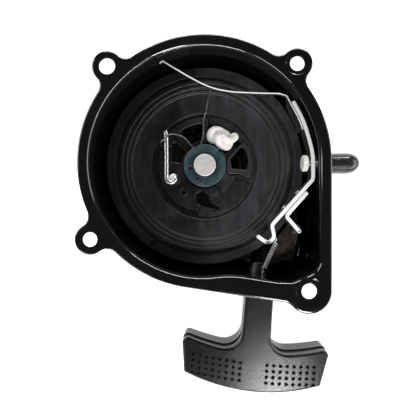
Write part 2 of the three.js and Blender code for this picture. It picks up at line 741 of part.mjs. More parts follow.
// Riveted under the plate, with a head over the lever's eye.
function leverPin() {
  const under = STAND_TOP - STAND_SHEET - GAP;
  const pin = turned(
    [
      [0, under - 1.2],
      [2, under - 1.2],
      [2, under],
      [PIN_RADIUS, under],
      [PIN_RADIUS, LEVER_TOP + GAP],
      [2.1, LEVER_TOP + GAP],
      [1.7, LEVER_TOP + GAP + 0.7],
      [0, LEVER_TOP + GAP + 0.7],
    ],
    24,
  );
  return pin.translate([LEVER_PIVOT.x, LEVER_PIVOT.y, 0]);
}

// A collar on the pin carries the lever at its height over the stand.
function leverSpacer() {
  const tube = ring(PIN_RADIUS + 0.2, 2.2, STAND_TOP + GAP, LEVER_BOTTOM - GAP, 24);
  return tube.translate([LEVER_PIVOT.x, LEVER_PIVOT.y, 0]);
}

// The envelope of the coil spring that draws the lever's hook towards the wall.
function tensionSpring() {
  return bar(TENSION_SPRING.map((p) => p.toArray()), SPRING_COIL_RADIUS, 1, 10);
}

// A headed stud on the bottom wall, for the spring's lower end.
function springStud() {
  const { x, y, z } = SPRING_STUD;
  const stud = turned([[0, 0], [1, 0], [1, 2.6], [1.7, 2.6], [1.7, 3.4], [0, 3.4]], 16);
  return stud.rotate([-90, 0, 0]).translate([x, y, z]);
}

// ---------------------------------------------------------------- stop rod and its ferrule
function stopRod() {
  const start = HEAD_FACE - 2;
  const profile = [
    [0, start],
    [STOP_ROD_RADIUS, start],
    [STOP_ROD_RADIUS, STOP_ROD_END],
    [0, STOP_ROD_END],
  ];
  return alongStopRod(turned(profile, 16));
}

// A blind cap on the rod's inner end.
function stopRodHead() {
  const inner = HEAD_FACE - 3.5;
  const bore = STOP_ROD_RADIUS + GAP;
  return alongStopRod(
    turned(
      [
        [0, inner],
        [STOP_ROD_HEAD - 0.5, inner],
        [STOP_ROD_HEAD, inner + 0.5],
        [STOP_ROD_HEAD, HEAD_FACE],
        [bore, HEAD_FACE],
        [bore, HEAD_FACE - 2 - GAP],
        [0, HEAD_FACE - 2 - GAP],
      ],
      20,
    ),
  );
}

const ferrule = () =>
  alongStopRod(
    ring(STOP_ROD_RADIUS + 0.4, FERRULE_RADIUS, WALL_RADIUS + GAP, CAP_START + 6, 24),
  );

function ferruleNut() {
  const start = WALL_RADIUS + SHEET + GAP;
  const hexagon = circle(0, 0, NUT_RADIUS, 60);
  const nut = cut(
    prism(hexagon, start, CAP_START - GAP),
    post(0, 0, FERRULE_RADIUS + GAP, start - 1, CAP_START),
  );
  return alongStopRod(nut);
}

// A soft cap pushed over the ferrule, hollow for the rod's end, with a rounded tip.
function ferruleCap() {
  const bore = FERRULE_RADIUS + GAP;
  const shoulder = CAP_END - CAP_TIP;
  const tip = [30, 55, 75].map((angle) => [
    CAP_RADIUS * Math.cos(radians(angle)),
    shoulder + CAP_TIP * Math.sin(radians(angle)),
  ]);
  return alongStopRod(
    turned(
      [
        [0, CAP_END - 3],
        [2.6, CAP_END - 4],
        [bore, shoulder],
        [bore, CAP_START],
        [CAP_RADIUS, CAP_START],
        [CAP_RADIUS, shoulder],
        ...tip,
        [0, CAP_END],
      ],
      24,
    ),
  );
}

// ---------------------------------------------------------------- rope, outlet and handle
// The bush holds in the wall by its waist; its funnel faces the reel.
function ropeOutlet() {
  const wall = SHEET / 2 + GAP + 0.15;
  const bore = ROPE_RADIUS + 0.7;
  return alongRope(
    turned(
      [
        [bore + 1.6, -9],
        [OUTLET_RADIUS, -9],
        [OUTLET_RADIUS, -wall],
        [BUSH_WAIST, -wall],
        [BUSH_WAIST, wall],
        [OUTLET_RADIUS, wall],
        [OUTLET_RADIUS, wall + 1.4],
        [OUTLET_RADIUS - 1, wall + 2.4],
        [bore + 1, wall + 2.4],
        [bore, wall + 1.4],
        [bore, -7],
      ],
      24,
    ),
  );
}

// The wound rope: three layers of two turns on the drum.
const ropeCoil = () =>
  ring(DRUM_RADIUS + GAP, ROPE_TANGENT + ROPE_RADIUS, GROOVE_BOTTOM + GAP, GROOVE_TOP - GAP, 48);

// The rope from where it is clear of the coil, through the outlet, to its knot in the handle.
function ropeLead() {
  const clear = Math.sqrt((ROPE_TANGENT + 2 * ROPE_RADIUS + GAP) ** 2 - ROPE_TANGENT ** 2);
  const inside = Math.sqrt(ROPE_EXIT.lengthSq() - ROPE_TANGENT ** 2) - clear;
  return alongRope(post(0, 0, ROPE_RADIUS, -inside, -KNOT_POCKET_TOP + 1.6, 36));
}

// The T handle's outline: a bar between two arcs, and a stem towards the case.
function handleOutline() {
  const centre = HANDLE_BOTTOM + HANDLE_ARC;
  const swing = degrees(Math.asin(HANDLE_HALF / HANDLE_ARC));
  const inner = HANDLE_ARC - HANDLE_BAR;
  const base = degrees(Math.asin(STEM_HALF / inner));
  const stemFoot = centre - inner * Math.cos(radians(base));
  const low = arc(0, centre, HANDLE_ARC, -90 - swing, -90 + swing, 5);
  const right = arc(0, centre, inner, -90 + swing, -82, 5);
  const left = arc(0, centre, inner, -98, -90 - swing, 5);
  const soften = (p, r) => corner(p.x, p.y, r);
  return rounded(
    [
      soften(low[0], 4.5),
      ...low.slice(1, -1),
      soften(low.at(-1), 4.5),
      soften(right[0], 4.5),
      ...right.slice(1, -1),
      corner(STEM_HALF, stemFoot, 6.5),
      corner(STEM_HALF, STEM_TOP, 3),
      corner(-STEM_HALF, STEM_TOP, 3),
      corner(-STEM_HALF, stemFoot, 6.5),
      ...left.slice(1, -1),
      soften(left.at(-1), 4.5),
    ],
    true,
  );
}

function pullHandle() {
  const flat = HANDLE_THICKNESS - 2 * HANDLE_BEVEL;
  const geometry = new THREE.ExtrudeGeometry(new THREE.Shape(handleOutline()), {
    depth: flat,
    bevelThickness: HANDLE_BEVEL,
    bevelSize: HANDLE_BEVEL,
    bevelOffset: -HANDLE_BEVEL,
    bevelSegments: 2,
  });
  const body = solid(geometry.translate(0, 0, -flat / 2));
  const placed = body.rotate([0, 0, LEAN]).translate([ROPE_EXIT.x, ROPE_EXIT.y, ROPE_Z]);
  return cut(
    placed,
    alongRope(post(0, 0, ROPE_RADIUS + 0.5, 0, -HANDLE_BOTTOM, 30)),
    alongRope(post(0, 0, KNOT_POCKET_RADIUS, -KNOT_POCKET_TOP, -HANDLE_BOTTOM + 5, 20)),
  );
}

// Seats the knot in the handle's pocket.
function handleWasher() {
  const top = -KNOT_POCKET_TOP + GAP;
  return alongRope(ring(ROPE_RADIUS + 0.4, KNOT_POCKET_RADIUS - 0.4, top, top + PLATE, 20));
}

function handleKnot() {
  const top = -KNOT_POCKET_TOP + 1.9;
  return alongRope(
    join(
      solid(new THREE.SphereGeometry(4, 12, 8).translate(0, 0, top + 4)),
      solid(new THREE.SphereGeometry(3.6, 10, 8).translate(0.6, 0.5, top + 7)),
      post(0.8, 0.6, ROPE_RADIUS, top + 6, top + 12.5, 36),
    ),
  );
}

// ---------------------------------------------------------------- assembly
const FINISHES = {
  blackPaint: { color: 0x0b0b0c, roughness: 0.16, metalness: 0.3 },
  blackNylon: { color: 0x1b1b1d, roughness: 0.55, metalness: 0 },
  blackVinyl: { color: 0x202022, roughness: 0.42, metalness: 0 },
  brightZinc: { color: 0xc9ccd0, roughness: 0.28, metalness: 1 },
  turnedSteel: { color: 0xa8adb0, roughness: 0.35, metalness: 1 },
  blueSteel: { color: 0x2f5158, roughness: 0.3, metalness: 1 },
  darkSteel: { color: 0x2c2a29, roughness: 0.45, metalness: 1 },
  whiteRope: { color: 0xe6e4de, roughness: 0.9, metalness: 0 },
  whiteNylon: { color: 0xd9d9d4, roughness: 0.5, metalness: 0 },
};
const materials = Object.fromEntries(
  Object.entries(FINISHES).map(([name, look]) => [name, new THREE.MeshStandardMaterial(look)]),
);

// Adds a group of pieces, each given as [name, solid, finish].
function assembly(name, pieces) {
  const group = new THREE.Group();
  group.name = name;
  for (const [node, body, finish] of pieces) {
    const mesh = new THREE.Mesh(surface(body), materials[finish]);
    mesh.name = node;
    group.add(mesh);
  }
  return group;
}

const starter = new THREE.Group();
starter.add(
  assembly("housing", [
    ["starter_case", starterCase(), "blackPaint"],
    ["centre_shaft", centreShaft(), "turnedSteel"],
    ["mainspring_pin", mainspringPin(), "darkSteel"],
    ["mainspring", mainspring(), "darkSteel"],
    ["thrust_washer", thrustWasher(), "blueSteel"],
    ["circlip", circlip(), "darkSteel"],
    ["rope_outlet", ropeOutlet(), "blackNylon"],
    ["lever_stand", leverStand(), "darkSteel"],
    ["lever_pin", leverPin(), "brightZinc"],
    ["lever_spacer", leverSpacer(), "brightZinc"],
    ["spring_stud", springStud(), "brightZinc"],
    ["ferrule", ferrule(), "brightZinc"],
    ["ferrule_nut", ferruleNut(), "brightZinc"],
    ["ferrule_cap", ferruleCap(), "blackVinyl"],
  ]),
  assembly("reel_group", [
    ["reel", reel(), "blackNylon"],
    ["reel_bush", ring(SHAFT_RADIUS + 0.1, BUSH_RADIUS, COLLAR_TOP + GAP, HUB_TOP, 36), "turnedSteel"],
    ["rope_coil", ropeCoil(), "whiteRope"],
    ["rope_knot", ropeKnot(), "whiteRope"],
  ]),
  assembly("pawl_group", [["pawl", pawl(), "brightZinc"]]),
  assembly("friction_spring_group", [["friction_spring", frictionSpring(), "brightZinc"]]),
  assembly("lever_group", [
    ["stop_lever", stopLever(), "brightZinc"],
    ["lever_bracket", leverBracket(), "brightZinc"],
    ["lever_leaf", leverLeaf(), "brightZinc"],
    ["tension_spring", tensionSpring(), "brightZinc"],
    ...RIVET_SHARES.map((share, i) => [`lever_rivet_${i + 1}`, leverRivet(share), "brightZinc"]),
  ]),
  assembly("stop_rod_group", [
    ["stop_rod", stopRod(), "brightZinc"],
    ["stop_rod_head", stopRodHead(), "whiteNylon"],
  ]),
  assembly("handle_group", [
    ["pull_handle", pullHandle(), "blackVinyl"],
    ["handle_washer", handleWasher(), "brightZinc"],
    ["handle_knot", handleKnot(), "whiteRope"],
    ["rope_lead", ropeLead(), "whiteRope"],
  ]),
);

export default starter;
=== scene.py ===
"""Looks of a small engine's recoil starter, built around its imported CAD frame.

Lengths below are in millimetres unless a name says otherwise, and mesh code turns them into metres.
Angles are in degrees, and bearings round the shaft start at +X.
"""

import math

import bmesh
import bpy
import numpy as np
from mathutils import Matrix, Vector
from mathutils.geometry import tessellate_polygon


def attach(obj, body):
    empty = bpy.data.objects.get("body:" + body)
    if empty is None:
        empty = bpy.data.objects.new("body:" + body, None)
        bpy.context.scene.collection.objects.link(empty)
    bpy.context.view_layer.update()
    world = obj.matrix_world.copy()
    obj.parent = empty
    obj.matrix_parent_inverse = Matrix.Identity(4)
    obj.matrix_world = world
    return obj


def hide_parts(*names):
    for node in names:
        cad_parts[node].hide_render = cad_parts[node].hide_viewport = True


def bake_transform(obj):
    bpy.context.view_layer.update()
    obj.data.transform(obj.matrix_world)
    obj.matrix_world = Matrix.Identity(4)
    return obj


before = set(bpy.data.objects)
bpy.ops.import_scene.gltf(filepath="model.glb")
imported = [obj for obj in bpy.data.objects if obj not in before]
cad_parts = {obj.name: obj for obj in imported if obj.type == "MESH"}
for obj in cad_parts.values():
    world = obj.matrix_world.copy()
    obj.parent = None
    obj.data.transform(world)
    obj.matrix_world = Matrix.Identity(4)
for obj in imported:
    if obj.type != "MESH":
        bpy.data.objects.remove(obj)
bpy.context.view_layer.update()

MM = 0.001

# ---------------------------------------------------------------- dimensions that the CAD settles
SHEET = 1.5
CASE_DEPTH = 38
WALL_RADIUS = 58
FLANGE_RADIUS = 64
FLOOR_FILLET = 6.5
FLANGE_LIP = 2.8
BOTTOM_FACING, BEVEL_FACING, BEVEL_DISTANCE = 267, 294, 73.3
CORNER_RADIUS = 8
FLANGE_BOTTOM_FACING = 261.5
EAR_FILLET, CORNER_EAR_FILLET = 6, 8
# The ears of the round part, and the one in the rope's corner: x, y, radius and radius of the hole.
EARS = ((46.6, 49.2, 7.75, 3.6), (-48.9, 47.75, 7.75, 4.0), (-57.4, -39.15, 7.75, 3.6))
CORNER_EAR = (52.6, -65.2, 11.4, 3.8)
SHAFT_RADIUS, SHAFT_TOP = 6, 23.5
WASHER_RADIUS, WASHER_Z, WASHER_NOTCH = 11.6, 19.8, 43
CLIP_Z, CLIP_EYES = 21.1, (192, 241)
REEL_RADIUS, REEL_TOP, REEL_BOTTOM = 54.5, 20, 3
PLATEAU = 15.2
HUB_RADIUS, HUB_TOP = 12.5, 17
ROPE_RADIUS, ROPE_Z, ROPE_TANGENT = 2, 11.5, 35
ROPE_EXIT = (30.6, -60.4)
PAWL_PIVOT = (-17, -7.2)
STOP_ROD_Z = 29
LEVER_PIVOT = (48.7, -35.3)
HANDLE_THICKNESS, HANDLE_BOTTOM = 16, -65.0

# ---------------------------------------------------------------- dimensions that only the looks have
STEM_TOP = -5.2
BAR_TILT = 0.031  # how much the handle's bar falls for each millimetre to the right
CROWN = 1.5  # how far the handle's faces fall away towards the bar's ends
KNOT_BEARING = 58
RIVET_SHARES = (0.18, 0.82)  # places of the rivets along the lever's diagonal
ON_AXIS = 1e-6


# ---------------------------------------------------------------- plane outlines
def at(angle, r=1.0):
    return (r * math.cos(math.radians(angle)), r * math.sin(math.radians(angle)))


def bearing(x, y):
    return math.degrees(math.atan2(y, x)) % 360


def arc(x, y, r, start, end, step=3.0):
    """Points along a circle's arc, either way round."""
    steps = max(1, math.ceil(abs(end - start) / step))
    turns = (start + (end - start) * i / steps for i in range(steps + 1))
    return [(x + r * math.cos(math.radians(a)), y + r * math.sin(math.radians(a))) for a in turns]


def circle(x, y, r, count=48):
    return arc(x, y, r, 0, 360, 360 / count)[:-1]


def rounded(points, closed=False, step=9.0):
    """The line through points, with each point (x, y, r) rounded to r."""
    made = []
    for i, p in enumerate(points):
        here = Vector(p[:2])
        inside = closed or 0 < i < len(points) - 1
        if len(p) < 3 or not inside:
            made.append(tuple(here))
            continue
        a = (Vector(points[i - 1][:2]) - here).normalized()
        b = (Vector(points[(i + 1) % len(points)][:2]) - here).normalized()
        half = math.acos(max(-1, min(1, a.dot(b)))) / 2
        if half > math.pi / 2 - 1e-3:
            made.append(tuple(here))
            continue
        centre = here + (a + b).normalized() * p[2] / math.sin(half)
        reach = p[2] / math.tan(half)
        start, end = here + a * reach - centre, here + b * reach - centre
        first = bearing(*start)
        turn = bearing(*end) - first
        turn -= 360 * round(turn / 360)
        made += arc(centre.x, centre.y, p[2], first, first + turn, step)
    return made


def offset(outline, distance, closed=True):
    """The outline moved to its right by distance: outwards where it runs anticlockwise."""
    count = len(outline)
    moved = []
    for i, p in enumerate(outline):
        before = outline[i - 1] if closed or i else p
        after = outline[(i + 1) % count] if closed or i + 1 < count else p
        u = Vector((p[0] - before[0], p[1] - before[1]))
        v = Vector((after[0] - p[0], after[1] - p[1]))
        u = v.normalized() if u.length < 1e-9 else u.normalized()
        v = u if v.length < 1e-9 else v.normalized()
        middle = (u + v).normalized()
        stretch = distance / max(0.4, middle.dot(u))
        moved.append((p[0] + middle.y * stretch, p[1] - middle.x * stretch))
    return moved


def sector(start, end, inner, outer, r=1.0):
    """The outline of part of a ring, anticlockwise, with its four corners rounded to r."""
    turn_out, turn_in = math.degrees(r / (outer - r)), math.degrees(r / (inner + r))
    out_a, out_b = start + turn_out, end - turn_out
    in_a, in_b = start + turn_in, end - turn_in
    made = arc(0, 0, outer, out_a, out_b)
    made += arc(*at(out_b, outer - r), r, out_b, end + 90, 15)
    made += arc(*at(in_b, inner + r), r, end + 90, in_b + 180, 15)
    made += arc(0, 0, inner, in_b, in_a)
    made += arc(*at(in_a, inner + r), r, in_a + 180, start + 270, 15)
    made += arc(*at(out_a, outer - r), r, start - 90, out_a, 15)
    return thinned(made)


def thinned(points, least=0.02):
    """The closed outline without points that lie on each other."""
    made = [points[0]]
    for p in points[1:]:
        if math.dist(p, made[-1]) > least:
            made.append(p)
    if math.dist(made[0], made[-1]) <= least:
        made.pop()
    return made


def curve_through(points, per_span=8):
    """A centripetal Catmull-Rom curve through points of any dimension."""
    knots = [np.array(p, float) for p in points]
    knots = [2 * knots[0] - knots[1], *knots, 2 * knots[-1] - knots[-2]]
    made = []
    for p0, p1, p2, p3 in zip(knots, knots[1:], knots[2:], knots[3:]):
        t1 = np.linalg.norm(p1 - p0) ** 0.5
        t2 = t1 + np.linalg.norm(p2 - p1) ** 0.5
        t3 = t2 + np.linalg.norm(p3 - p2) ** 0.5
        for i in range(per_span):
            t = t1 + (t2 - t1) * i / per_span
            a = (t1 - t) / t1 * p0 + t / t1 * p1
            b = (t2 - t) / (t2 - t1) * p1 + (t - t1) / (t2 - t1) * p2
            c = (t3 - t) / (t3 - t2) * p2 + (t - t2) / (t3 - t2) * p3
            d = (t2 - t) / t2 * a + t / t2 * b
            e = (t3 - t) / (t3 - t1) * b + (t - t1) / (t3 - t1) * c
            made.append((t2 - t) / (t2 - t1) * d + (t - t1) / (t2 - t1) * e)
    return [*made, knots[-2]]


# ---------------------------------------------------------------- meshes
def new_piece(name, points, faces):
    """A mesh object from points in millimetres."""
    mesh = bpy.data.meshes.new(name)
    mesh.from_pydata([tuple(c * MM for c in p) for p in points], [], faces)
    piece = bpy.data.objects.new(name, mesh)
    bpy.context.scene.collection.objects.link(piece)
    tidy_mesh(mesh)
    return piece


def tidy_mesh(mesh):
    """Merges points that lie on each other and turns the faces outwards."""
    work = bmesh.new()
    work.from_mesh(mesh)
    bmesh.ops.remove_doubles(work, verts=work.verts, dist=2e-6)
    bmesh.ops.dissolve_degenerate(work, edges=work.edges, dist=1e-7)
    bmesh.ops.recalc_face_normals(work, faces=work.faces)
    work.to_mesh(mesh)
    work.free()
    mesh.update()


class Skin:
    """Points and faces of one piece, gathered ring by ring."""

    def __init__(self):
        self.points, self.faces = [], []

    def ring(self, outline, z=None):
        """Adds a ring: an outline at a height, or a list of points. Returns their indices."""
        start = len(self.points)
        self.points += [(p[0], p[1], p[2] if z is None else z) for p in outline]
        return list(range(start, len(self.points)))

    def chain(self, rings):
        """Joins each ring to the next with a band of faces."""
        for a, b in zip(rings, rings[1:]):
            for i in range(len(a)):
                j = (i + 1) % len(a)
                self.faces.append((a[i], a[j], b[j], b[i]))

    def plate(self, *loops):
        """Fills a flat outline that may have holes."""
        flat = [[Vector((*self.points[i][:2], 0)) for i in loop] for loop in loops]
        indices = [i for loop in loops for i in loop]
        self.faces += [tuple(indices[i] for i in face) for face in tessellate_polygon(flat)]

    def fan(self, ring, centre):
        middle = len(self.points)
        self.points.append(centre)
        count = len(ring)
        self.faces += [(ring[i], ring[(i + 1) % count], middle) for i in range(count)]

    def piece(self, name):
        return new_piece(name, self.points, self.faces)


def lathed(name, profile, segments=96):
    """A body of revolution about Z. A profile that touches the axis does so only at its ends."""
    skin = Skin()
    on_axis = profile[0][0] < ON_AXIS
    walls = profile[1:-1] if on_axis else profile
    rings = [skin.ring(circle(0, 0, r, segments), z) for r, z in walls]
    if on_axis:
        skin.chain(rings)
        skin.fan(rings[0], (0, 0, profile[0][1]))
        skin.fan(rings[-1], (0, 0, profile[-1][1]))
    else:
        skin.chain([*rings, rings[0]])
    return skin.piece(name)


def lofted(name, layers):
    """A closed skin over (outline, z) layers of equal length, with flat ends."""
    skin = Skin()
    rings = [skin.ring(outline, z) for outline, z in layers]
    skin.chain(rings)
    skin.plate(rings[0])
    skin.plate(rings[-1])
    return skin.piece(name)


def rounding_turns(radius, steps=4):
    """Angles of the layers that round an edge: one layer only where the edge stays sharp."""
    return [math.radians(90 * i / steps) for i in range(steps + 1 if radius else 1)]


def rounded_floor(outline, bottom, r):
    turns = rounding_turns(r)
    return [(offset(outline, r * (math.sin(a) - 1)), bottom + r * (1 - math.cos(a))) for a in turns]


def slab(name, outline, bottom, top, low=0.0, high=0.0):
    """A prism with its bottom and top edges rounded to radius low and high."""
    layers = rounded_floor(outline, bottom, low)
    for a in rounding_turns(high):
        layers.append((offset(outline, high * (math.cos(a) - 1)), top - high * (1 - math.sin(a))))
    return lofted(name, layers)


def disc(name, centre, radius, sides, bottom, top, low=0.0, high=0.0):
    return slab(name, circle(*centre, radius, sides), bottom, top, low, high)


def flared_cutter(name, outline, bottom, mouth, flare, floor_radius=0.0):
    """A cutter whose hole has a rounded mouth at height mouth and, if asked, a rounded floor."""
    layers = rounded_floor(outline, bottom, floor_radius)
    for a in rounding_turns(flare):
        layers.append((offset(outline, flare * (1 - math.cos(a))), mouth - flare * (1 - math.sin(a))))
    layers.append((offset(outline, flare), mouth + 2))
    return lofted(name, layers)


def swept(name, line, radius, sides, relief=None, round_ends=True):
    """A round bar along a line. relief(distance along, turn) raises its surface."""
    line = [Vector(p) for p in line]
    if round_ends:
        line, shares = with_round_ends(line, radius)
    else:
        shares = [1.0] * len(line)
    skin = Skin()
    normal = None
    travelled = 0.0
    rings = []
    for i, p in enumerate(line):
        along = (line[min(i + 1, len(line) - 1)] - line[max(i - 1, 0)]).normalized()
        if normal is None:
            normal = along.orthogonal().normalized()
        else:
            normal = (normal - along * normal.dot(along)).normalized()
            travelled += (p - line[i - 1]).length
        across = along.cross(normal)
        points = []
        for k in range(sides):
            turn = 2 * math.pi * k / sides
            r = radius * shares[i]
            if relief and shares[i] == 1.0:
                r += relief(travelled, turn)
            points.append(p + (normal * math.cos(turn) + across * math.sin(turn)) * r)
        rings.append(skin.ring(points))
    skin.chain(rings)
    skin.faces.append(tuple(rings[0]))
    skin.faces.append(tuple(rings[-1]))
    return skin.piece(name)


def with_round_ends(line, radius, steps=4):
    """The line and each point's share of the radius, so that both ends are domed."""
    first = (line[0] - line[1]).normalized()
    last = (line[-1] - line[-2]).normalized()
    rising = [math.radians(85 * i / steps) for i in range(1, steps + 1)]
    falling = [math.radians(85 * (1 - i / steps)) for i in range(steps)]
    start = [line[0] + first * radius * math.sin(a) * 0.999 for a in falling]
    end = [line[-1] + last * radius * math.sin(a) * 0.999 for a in rising]
    shares = [*map(math.cos, falling), *([1.0] * len(line)), *map(math.cos, rising)]
    return [*start, *line, *end], shares


def boolean(piece, tools, operation="DIFFERENCE"):
    """Cuts or joins piece with each tool, and removes the tools."""
    for tool in tools:
        step = piece.modifiers.new("boolean", "BOOLEAN")
        step.operation = operation
        step.solver = "MANIFOLD"
        step.object = tool
    apply_modifiers(piece)
    for tool in tools:
        mesh = tool.data
        bpy.data.objects.remove(tool)
        bpy.data.meshes.remove(mesh)
    return piece


def apply_modifiers(piece):
    bpy.context.view_layer.update()
    graph = bpy.context.evaluated_depsgraph_get()
    mesh = bpy.data.meshes.new_from_object(piece.evaluated_get(graph))
    piece.modifiers.clear()
    old = piece.data
    piece.data = mesh
    bpy.data.meshes.remove(old)


def joined(name, pieces):
    """One object from several, each keeping its own skin."""
    work = bmesh.new()
    for piece in pieces:
        piece.data.transform(piece.matrix_world)
        work.from_mesh(piece.data)
        mesh = piece.data
        bpy.data.objects.remove(piece)
        bpy.data.meshes.remove(mesh)
    mesh = bpy.data.meshes.new(name)
    work.to_mesh(mesh)
    work.free()
    made = bpy.data.objects.new(name, mesh)
    bpy.context.scene.collection.objects.link(made)
    return made


def moved(piece, matrix):
    """Moves the mesh itself; distances in the matrix are millimetres."""
    shift = Matrix.Translation(matrix.translation * MM) @ matrix.to_3x3().to_4x4()
    piece.data.transform(shift)
    return piece


def shifted(piece, x, y):
    return moved(piece, Matrix.Translation((x, y, 0)))


def finished(piece, material, body, node, sharp=32, ride=True):
    """Gives the piece its shading and material, ties it to its body when it rides along, and hides the CAD
    node that it stands for.
    """
    mesh = piece.data
    for polygon in mesh.polygons:
        polygon.use_smooth = True
    mesh.set_sharp_from_angle(angle=math.radians(sharp))
    weighted = piece.modifiers.new("weighted", "WEIGHTED_NORMAL")
    weighted.keep_sharp = True
    weighted.weight = 60
    mesh.materials.clear()
    mesh.materials.append(material)
    mesh.name = piece.name
    if ride:
        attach(piece, body)
    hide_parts(node)
    return piece


# ---------------------------------------------------------------- materials
class Look:
    """A node material on one Principled shader, with helpers for the nodes that feed it."""

    def __init__(self, name, **sockets):
        self.material = bpy.data.materials.new(name)
        self.material.use_nodes = True
        self.tree = self.material.node_tree
        self.shader = self.tree.nodes["Principled BSDF"]
        for socket, value in sockets.items():
            self.shader.inputs[socket.replace("_", " ")].default_value = value
        self.coordinates = self.tree.nodes.new("ShaderNodeTexCoord").outputs["Object"]
        self.relief = None

    def node(self, kind, inputs=(), **settings):
        made = self.tree.nodes.new(kind)
        for key, value in settings.items():
            setattr(made, key, value)
        for key, value in dict(inputs).items():
            self.feed(made.inputs[key], value)
        return made

    def feed(self, socket, value):
        if isinstance(value, bpy.types.NodeSocket):
            self.tree.links.new(value, socket)
        else:
            socket.default_value = value

    def math(self, operation, a, b=0.0):
        return self.node("ShaderNodeMath", {0: a, 1: b}, operation=operation).outputs[0]

    def stretched(self, scale, rotation=(0, 0, 0)):
        inputs = {"Vector": self.coordinates, "Scale": scale, "Rotation": rotation}
        return self.node("ShaderNodeMapping", inputs).outputs[0]

    def noise(self, size, detail=3.0, roughness=0.5, vector=None):
        """Noise whose blobs are about size millimetres across."""
        inputs = {
            "Vector": vector or self.coordinates, "Scale": 1 / (size * MM), "Detail": detail,
            "Roughness": roughness,
        }
        return self.node("ShaderNodeTexNoise", inputs).outputs["Fac"]

    def line_noise(self, position, size, detail=4.0):
        """Noise along one number, given in metres."""
        inputs = {"W": position, "Scale": 1 / (size * MM), "Detail": detail}
        return self.node("ShaderNodeTexNoise", inputs, noise_dimensions="1D").outputs["Fac"]

    def cells(self, size, feature="F1"):
        inputs = {"Vector": self.coordinates, "Scale": 1 / (size * MM)}
        return self.node("ShaderNodeTexVoronoi", inputs, feature=feature).outputs["Distance"]

    def place(self, axis):
        """The place along an axis, in metres."""
        return self.node("ShaderNodeSeparateXYZ", {0: self.coordinates}).outputs[axis]

    def axis_distance(self):
        """Distance in metres from the shaft's axis."""
        flat = self.stretched((1, 1, 0))
        return self.node("ShaderNodeVectorMath", {0: flat}, operation="LENGTH").outputs["Value"]

    def span(self, value, low, high, start=0.0, end=1.0):
        """value from start..end taken to low..high."""
        inputs = {"Value": value, "From Min": start, "From Max": end, "To Min": low, "To Max": high}
        return self.node("ShaderNodeMapRange", inputs, clamp=True).outputs[0]

    def ramp(self, value, *stops):
        made = self.node("ShaderNodeValToRGB", {"Fac": value})
        elements = made.color_ramp.elements
        while len(elements) < len(stops):
            elements.new(0.5)
        for element, (place, colour) in zip(elements, stops):
            element.position = place
            element.color = (*colour, 1)
        return made.outputs["Color"]

    def mix(self, share, a, b):
        made = self.node("ShaderNodeMix", data_type="RGBA")
        for key, value in ((0, share), (6, a), (7, b)):
            if not isinstance(value, bpy.types.NodeSocket) and key:
                value = (*value, 1)
            self.feed(made.inputs[key], value)
        return made.outputs[2]

    def bump(self, height, depth, strength=1.0):
        """Adds relief of depth millimetres."""
        inputs = {"Height": height, "Distance": depth * MM, "Strength": strength}
        if self.relief:
            inputs["Normal"] = self.relief
        self.relief = self.node("ShaderNodeBump", inputs).outputs[0]

    def done(self, colour, roughness):
        self.feed(self.shader.inputs["Base Color"], colour)
        self.feed(self.shader.inputs["Roughness"], roughness)
        if self.relief:
            self.feed(self.shader.inputs["Normal"], self.relief)
        return self.material


def black_paint():
    """Baked enamel: orange peel, a few dust nibs and faint wiping marks."""
    look = Look("black_paint", Coat_Weight=1.0, Coat_Roughness=0.04, IOR=1.5)
    peel = look.noise(2.2, 2.0)
    nibs = look.span(look.cells(5.5), 1, 0, 0.0, 0.05)
    look.bump(peel, 0.035)
    look.bump(nibs, 0.03, 0.7)
    marks = look.noise(9, 5.0, 0.65, look.stretched((1, 0.12, 1), (0, 0, 0.7)))
    cloud = look.noise(30, 3.0)
    colour = look.ramp(cloud, (0.35, (0.0022, 0.0022, 0.0026)), (0.7, (0.0045, 0.0038, 0.0034)))
    roughness = look.math("ADD", look.span(marks, 0.08, 0.2, 0.35, 0.75), look.span(peel, 0, 0.05))
    return look.done(colour, roughness)


def black_nylon():
    """Moulded nylon: fine grain, faint mould turning marks and chalky scuffs. A painted sheen lightens it
    towards +X, and painted shade turns it almost black below the plateau's face.
    """
    look = Look("black_nylon", IOR=1.5)
    grain = look.noise(0.28, 2.0)
    marks = look.line_noise(look.axis_distance(), 1.1, 5.0)
    scuff = look.noise(14, 6.0, 0.7)
    streaks = look.noise(3.5, 4.0, 0.6, look.stretched((1, 0.08, 1), (0, 0, 1.0)))
    look.bump(marks, 0.02)
    look.bump(grain, 0.022)
    haze = look.math("MULTIPLY", scuff, streaks)
    clean = look.ramp(haze, (0.1, (0.003, 0.003, 0.004)), (0.42, (0.009, 0.0088, 0.0108)))
    chalky = look.ramp(haze, (0.08, (0.016, 0.0157, 0.0185)), (0.42, (0.056, 0.0545, 0.062)))
    # Painted sheen over real scuffs: more of the chalky colour is mixed in towards +X, which lightens that
    # side as if light fell on it.
    ragged = look.math("MULTIPLY", look.math("SUBTRACT", look.noise(16, 4.0), 0.5), 50 * MM)
    wear_and_lit_side = look.math("ADD", look.place(0), ragged)
    scuffs_and_painted_sheen = look.mix(look.span(wear_and_lit_side, 0, 1, -14 * MM, 16 * MM), clean, chalky)
    satin = look.span(look.math("ADD", haze, look.math("MULTIPLY", marks, 0.35)), 0.26, 0.46, 0.2, 0.75)
    # Painted shade: below the plateau's face the colour turns almost black, standing in for the shade in
    # recesses, moats and lower parts, which are also glossier there.
    face = look.span(look.place(2), 0, 1, 13.9 * MM, 14.95 * MM)
    colour = look.mix(face, (0.003, 0.003, 0.0034), scuffs_and_painted_sheen)
    deep = 0.16
    above = look.math("MULTIPLY", face, look.math("SUBTRACT", satin, deep))
    return look.done(colour, look.math("ADD", above, deep))


